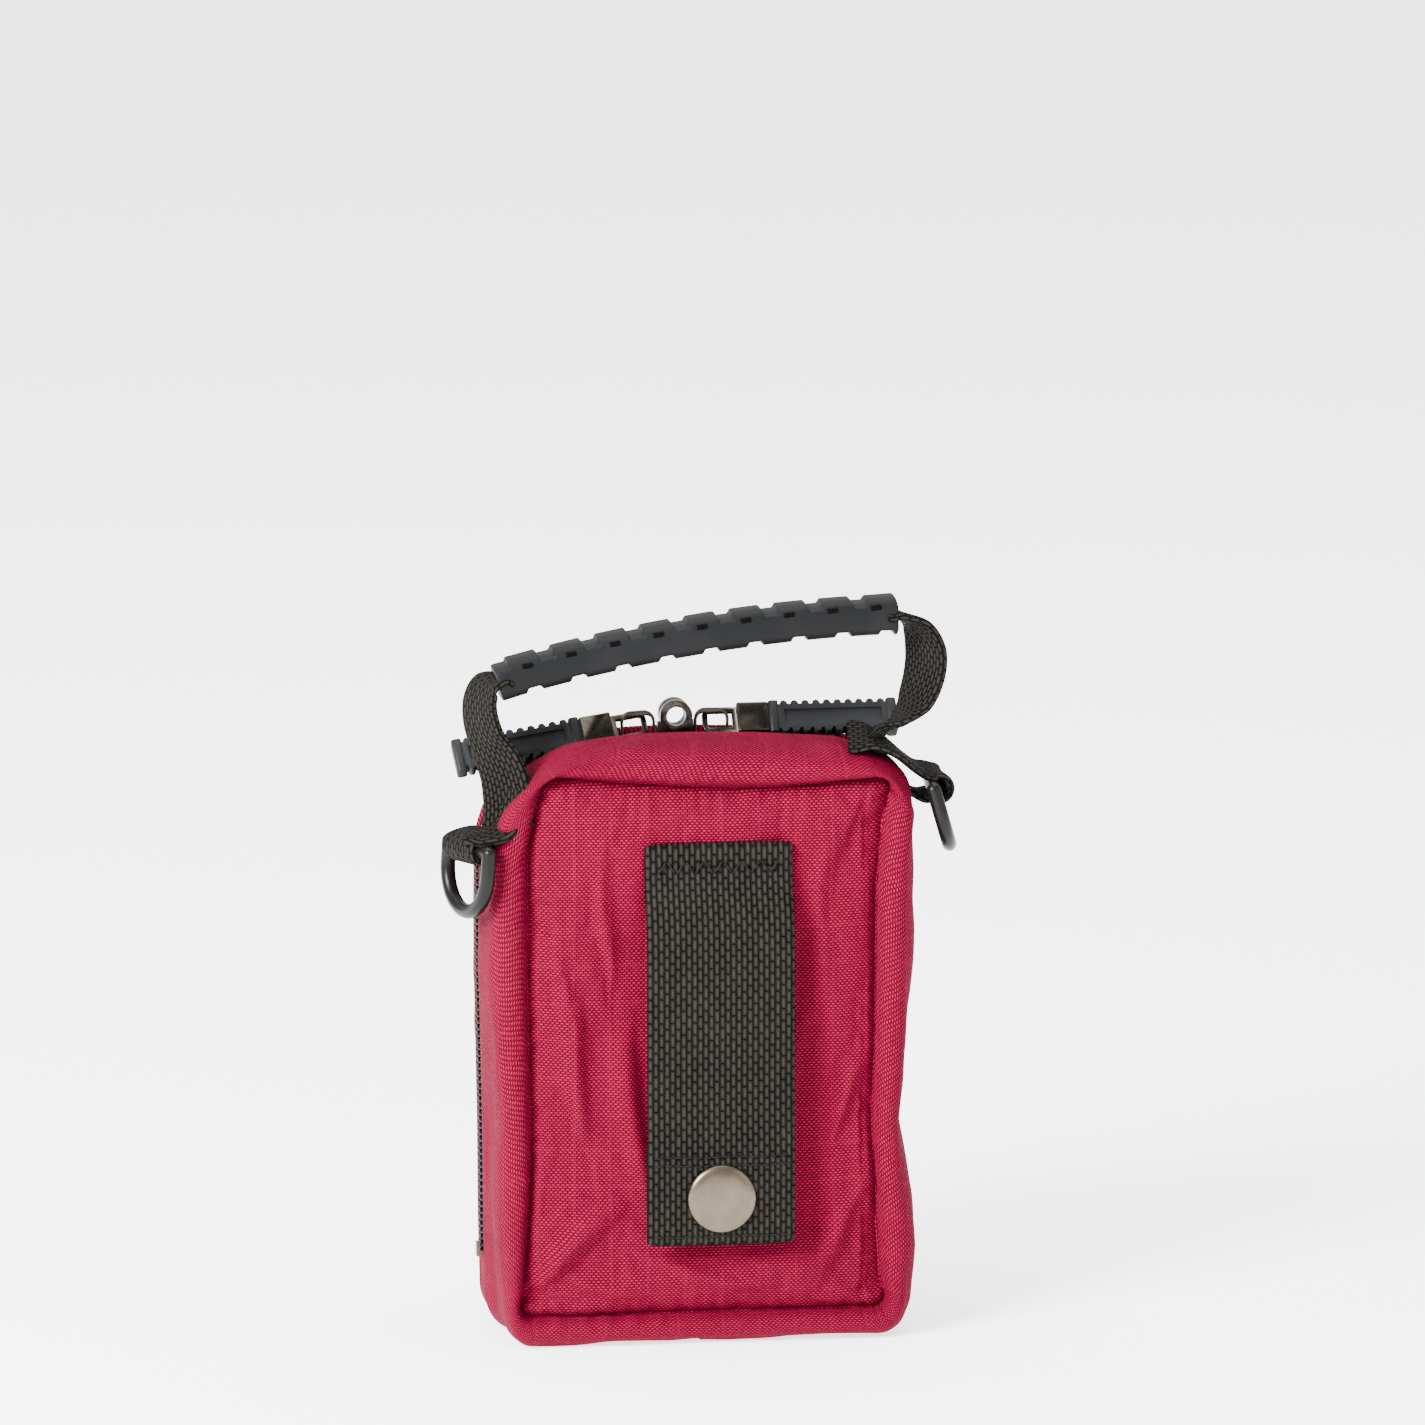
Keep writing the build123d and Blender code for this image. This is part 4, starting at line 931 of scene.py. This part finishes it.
def gripSurface():
    # a rounded oblong |a / w|^power + |b / h|^power = 1 along an arc; between pads the top and bottom drop by
    # up to the groove's depth
    count, sides = 420, 64
    t = np.linspace(0, 1, count)
    x = grip["left"][0] + t * (grip["right"][0] - grip["left"][0])
    z = grip["left"][1] + t * (grip["right"][1] - grip["left"][1]) + grip["rise"] * 4 * t * (1 - t)
    path = np.stack([x, np.full(count, grip["y"]), z], 1)
    angle = np.linspace(0, 2 * math.pi, sides, endpoint=False)
    c, s = np.cos(angle), np.sin(angle)
    power = grip["power"]
    reach = (np.abs(c) ** power + np.abs(s) ** power) ** (-1 / power)
    wide, high = c * reach, s * reach
    pitch = 1.0 / grip["pads"]
    phaseTop = ((t + 0.35 * pitch) / pitch) % 1.0
    phaseLow = ((t + 0.75 * pitch) / pitch) % 1.0

    def groove(phase):
        return ease(np.abs(phase - 0.5), 0.2, 0.12)[:, None]

    endCap = np.sqrt(np.clip(1 - ((np.abs(t - 0.5) - 0.494) / 0.006).clip(0, 1) ** 2, 0.0, 1))
    drop = np.where(s[None] > 0, groove(phaseTop), groove(phaseLow))
    drop = drop * np.clip(np.abs(high[None]) * 3 - 1.6, 0, 1)
    along = unit(np.gradient(path, axis=0))
    lift = np.cross(along, np.array([[0, 1.0, 0]]))
    lift = lift * np.sign(lift[:, 2:])
    swell = 1 + 0.03 * ease(np.abs(t - 0.5), 0.44, 0.49)
    scale = (0.9 + 0.1 * endCap) * swell
    a = wide[None] * grip["halfWide"] * scale[:, None]
    b = high[None] * (grip["halfHigh"] * scale[:, None] - grip["groove"] * drop)
    grid = path[:, None] + a[..., None] * np.array([0, -1.0, 0]) + b[..., None] * lift[:, None]
    first = path[:1, None] + (grid[:1] - path[:1, None]) * 0.02
    last = path[-1:, None] + (grid[-1:] - path[-1:, None]) * 0.02
    grid = np.concatenate([first, grid, last])
    length = np.concatenate([[0], t, [1]])
    uv = np.stack(np.broadcast_arrays(angle[None] / (2 * math.pi), length[:, None]), -1)
    made = Surface().add(grid * mm, uv, closeColumns=True, flip=True).make("gripMoulded", gripRubber)
    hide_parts("handle_grip")
    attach(made, "handle")


gripSurface()


def gripSlots():
    # small oval vent slots along the upper edge of the grip on both faces: their shade is painted as
    # near-black sunk capsules
    # painted shade: a near-black material for the shade inside the slots
    dark = newMaterial("slot shadow", mouldedBuilder((10, 10, 11), (16, 16, 17), 900.0), shine=0.02)
    surface = Surface()
    run = np.array([grip["right"][0] - grip["left"][0], 0, grip["right"][1] - grip["left"][1]])
    for k in range(grip["slots"]):
        t = (k + 0.15 + 0.5) / grip["slots"] * 0.98
        up = grip["rise"] * 4 * t * (1 - t) + grip["slotUp"]
        centre = np.array([grip["left"][0], grip["y"], grip["left"][1]]) + t * run + np.array([0, 0, up])
        for face in (-1, 1):
            middle = centre + np.array([0, face * grip["slotOut"], 0])
            along = unit(run) * np.linspace(-grip["slotHalf"], grip["slotHalf"], 9)[:, None]
            surface.tube((middle + along) * mm, grip["slotRadius"] * mm, 10)
    made = surface.make("gripSlotShadow", dark)
    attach(made, "handle")


gripSlots()
print("stage: grip")


# ---- built parts with softened edges

def softened(node, body, material, width, angle):
    # a copy of the built part with its loose triangles merged, flat faces kept and its edges rounded
    mesh = nodes[node].data.copy()
    work = bmesh.new()
    work.from_mesh(mesh)
    bmesh.ops.remove_doubles(work, verts=work.verts, dist=0.004 * mm)
    bmesh.ops.dissolve_limit(work, angle_limit=0.02, verts=work.verts, edges=work.edges)
    work.to_mesh(mesh)
    work.free()
    made = bpy.data.objects.new(node + "Soft", mesh)
    bpy.context.scene.collection.objects.link(made)
    mesh.materials.clear()
    mesh.materials.append(material)
    mesh.polygons.foreach_set("use_smooth", np.full(len(mesh.polygons), True))
    edge = made.modifiers.new("edges", "BEVEL")
    edge.width = width * mm
    edge.segments = 2
    edge.limit_method = "ANGLE"
    edge.angle_limit = angle
    edge.harden_normals = True
    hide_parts(node)
    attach(made, body)


edges = [("slider_{}", "slider_{}_body", gunmetal, "gunmetal", 0.22, 0.6),
         ("pull_{}_frame", "pull_{}", gunmetal, "gunmetal", 0.2, 0.6),
         ("pull_{}_rubber", "pull_{}", pullRubber, "pull_rubber", 0.25, 0.6),
         ("d_ring_{}", "ring_{}", ringMaterial, "ring_black", 0.1, 0.9)]
for node, body, finish, slot, width, angle in edges:
    for hand in ("left", "right"):
        softened(node.format(hand), body.format(hand), finish, width, angle)
print("stage: softened parts")


# ---- finishes for the parts that are shown as built

finishes = [
    (nickel, ["snap_socket", "snap_stud", "snap_washer", "zip_stops"]),
    (tapeBlack, ["zip_tape_back", "zip_tape_front"]),
    (bindingBlack, ["elastic_band", "pocket_hem", "tool_loops"]),
    (meshMaterial, ["mesh_pocket"]),
    (patchWhite, ["cross_patch"]),
    (gauzeWhite, ["bandage_roll_large", "bandage_roll_small"]),
    (clothTape, ["tape_roll"]),
    (plasticWhite, ["tape_spool"]),
    (plasterPaper, ["plaster_packet"]),
    (gauzePaper, ["gauze_packet"]),
    (wipesPaper, ["wipes_packet"]),
    (steel, ["scissors_blade_fixed", "scissors_blade_moving", "scissors_pivot", "tweezers"])]
for finish, names in finishes:
    for name in names:
        nodes[name].data.materials.clear()
        nodes[name].data.materials.append(finish)
print("stage: finishes")


# ---- camera, floor and light

stage = dict(azimuth=-8.0, elevation=10.0, distance=2.3, across=0.305, aim=(0.0019, -0.025, 0.1387),
             floor=(0.9, 0.9, 0.9, 1), floorReach=6.0, floorGlow=2.0, skySeen=6.0, skyLight=1.5,
             lampAim=(0, 0, 0.07))
lamps = [("keyLight", (-1.0, -0.85, 0.85), 0.6, 112.0), ("fillLight", (1.2, -1.0, 0.6), 1.0, 8.0),
         ("topLight", (0.0, 0.3, 1.4), 1.2, 26.0)]


def makeStage():
    # the camera stands back from the aim at an azimuth and elevation; its lens takes in a width across there
    a, e = math.radians(stage["azimuth"]), math.radians(stage["elevation"])
    back = Vector((math.sin(a) * math.cos(e), -math.cos(a) * math.cos(e), math.sin(e)))
    data = bpy.data.cameras.new("camera")
    data.sensor_width = 36
    data.lens = 36 * stage["distance"] / stage["across"]
    camera = bpy.data.objects.new("camera", data)
    camera.location = Vector(stage["aim"]) + back * stage["distance"]
    camera.rotation_mode = "QUATERNION"
    camera.rotation_quaternion = (-back).to_track_quat("-Z", "Y")
    bpy.context.scene.collection.objects.link(camera)
    bpy.context.scene.camera = camera

    reach = stage["floorReach"]
    mesh = bpy.data.meshes.new("floor")
    corners = [(-reach, -reach, 0), (reach, -reach, 0), (reach, reach, 0), (-reach, reach, 0)]
    mesh.from_pydata(corners, [], [(0, 1, 2, 3)])
    floor = bpy.data.objects.new("floor", mesh)
    bpy.context.scene.collection.objects.link(floor)
    paint = bpy.data.materials.new("floor")
    paint.use_nodes = True
    shader = paint.node_tree.nodes["Principled BSDF"]
    shader.inputs["Base Color"].default_value = stage["floor"]
    shader.inputs["Roughness"].default_value = 0.9
    shader.inputs["Specular IOR Level"].default_value = 0.1
    shader.inputs["Emission Color"].default_value = (1, 1, 1, 1)
    shader.inputs["Emission Strength"].default_value = stage["floorGlow"]
    mesh.materials.append(paint)

    # the sky is seen brighter than it lights, so that the lamps can shape the folds
    world = bpy.data.worlds.new("world")
    world.use_nodes = True
    tree = world.node_tree
    sky = tree.nodes["Background"]
    sky.inputs[0].default_value = (1, 1, 1, 1)
    seen = Wire(tree, tree.nodes.new("ShaderNodeLightPath").outputs["Is Camera Ray"])
    seen.plug(sky.inputs["Strength"], seen * (stage["skySeen"] - stage["skyLight"]) + stage["skyLight"])
    bpy.context.scene.world = world

    for name, spot, size, power in lamps:
        light = bpy.data.lights.new(name, "AREA")
        light.size = size
        light.energy = power
        lamp = bpy.data.objects.new(name, light)
        lamp.location = spot
        lamp.rotation_mode = "QUATERNION"
        lamp.rotation_quaternion = (Vector(stage["lampAim"]) - Vector(spot)).to_track_quat("-Z", "Y")
        bpy.context.scene.collection.objects.link(lamp)


makeStage()
print("stage: camera and light")
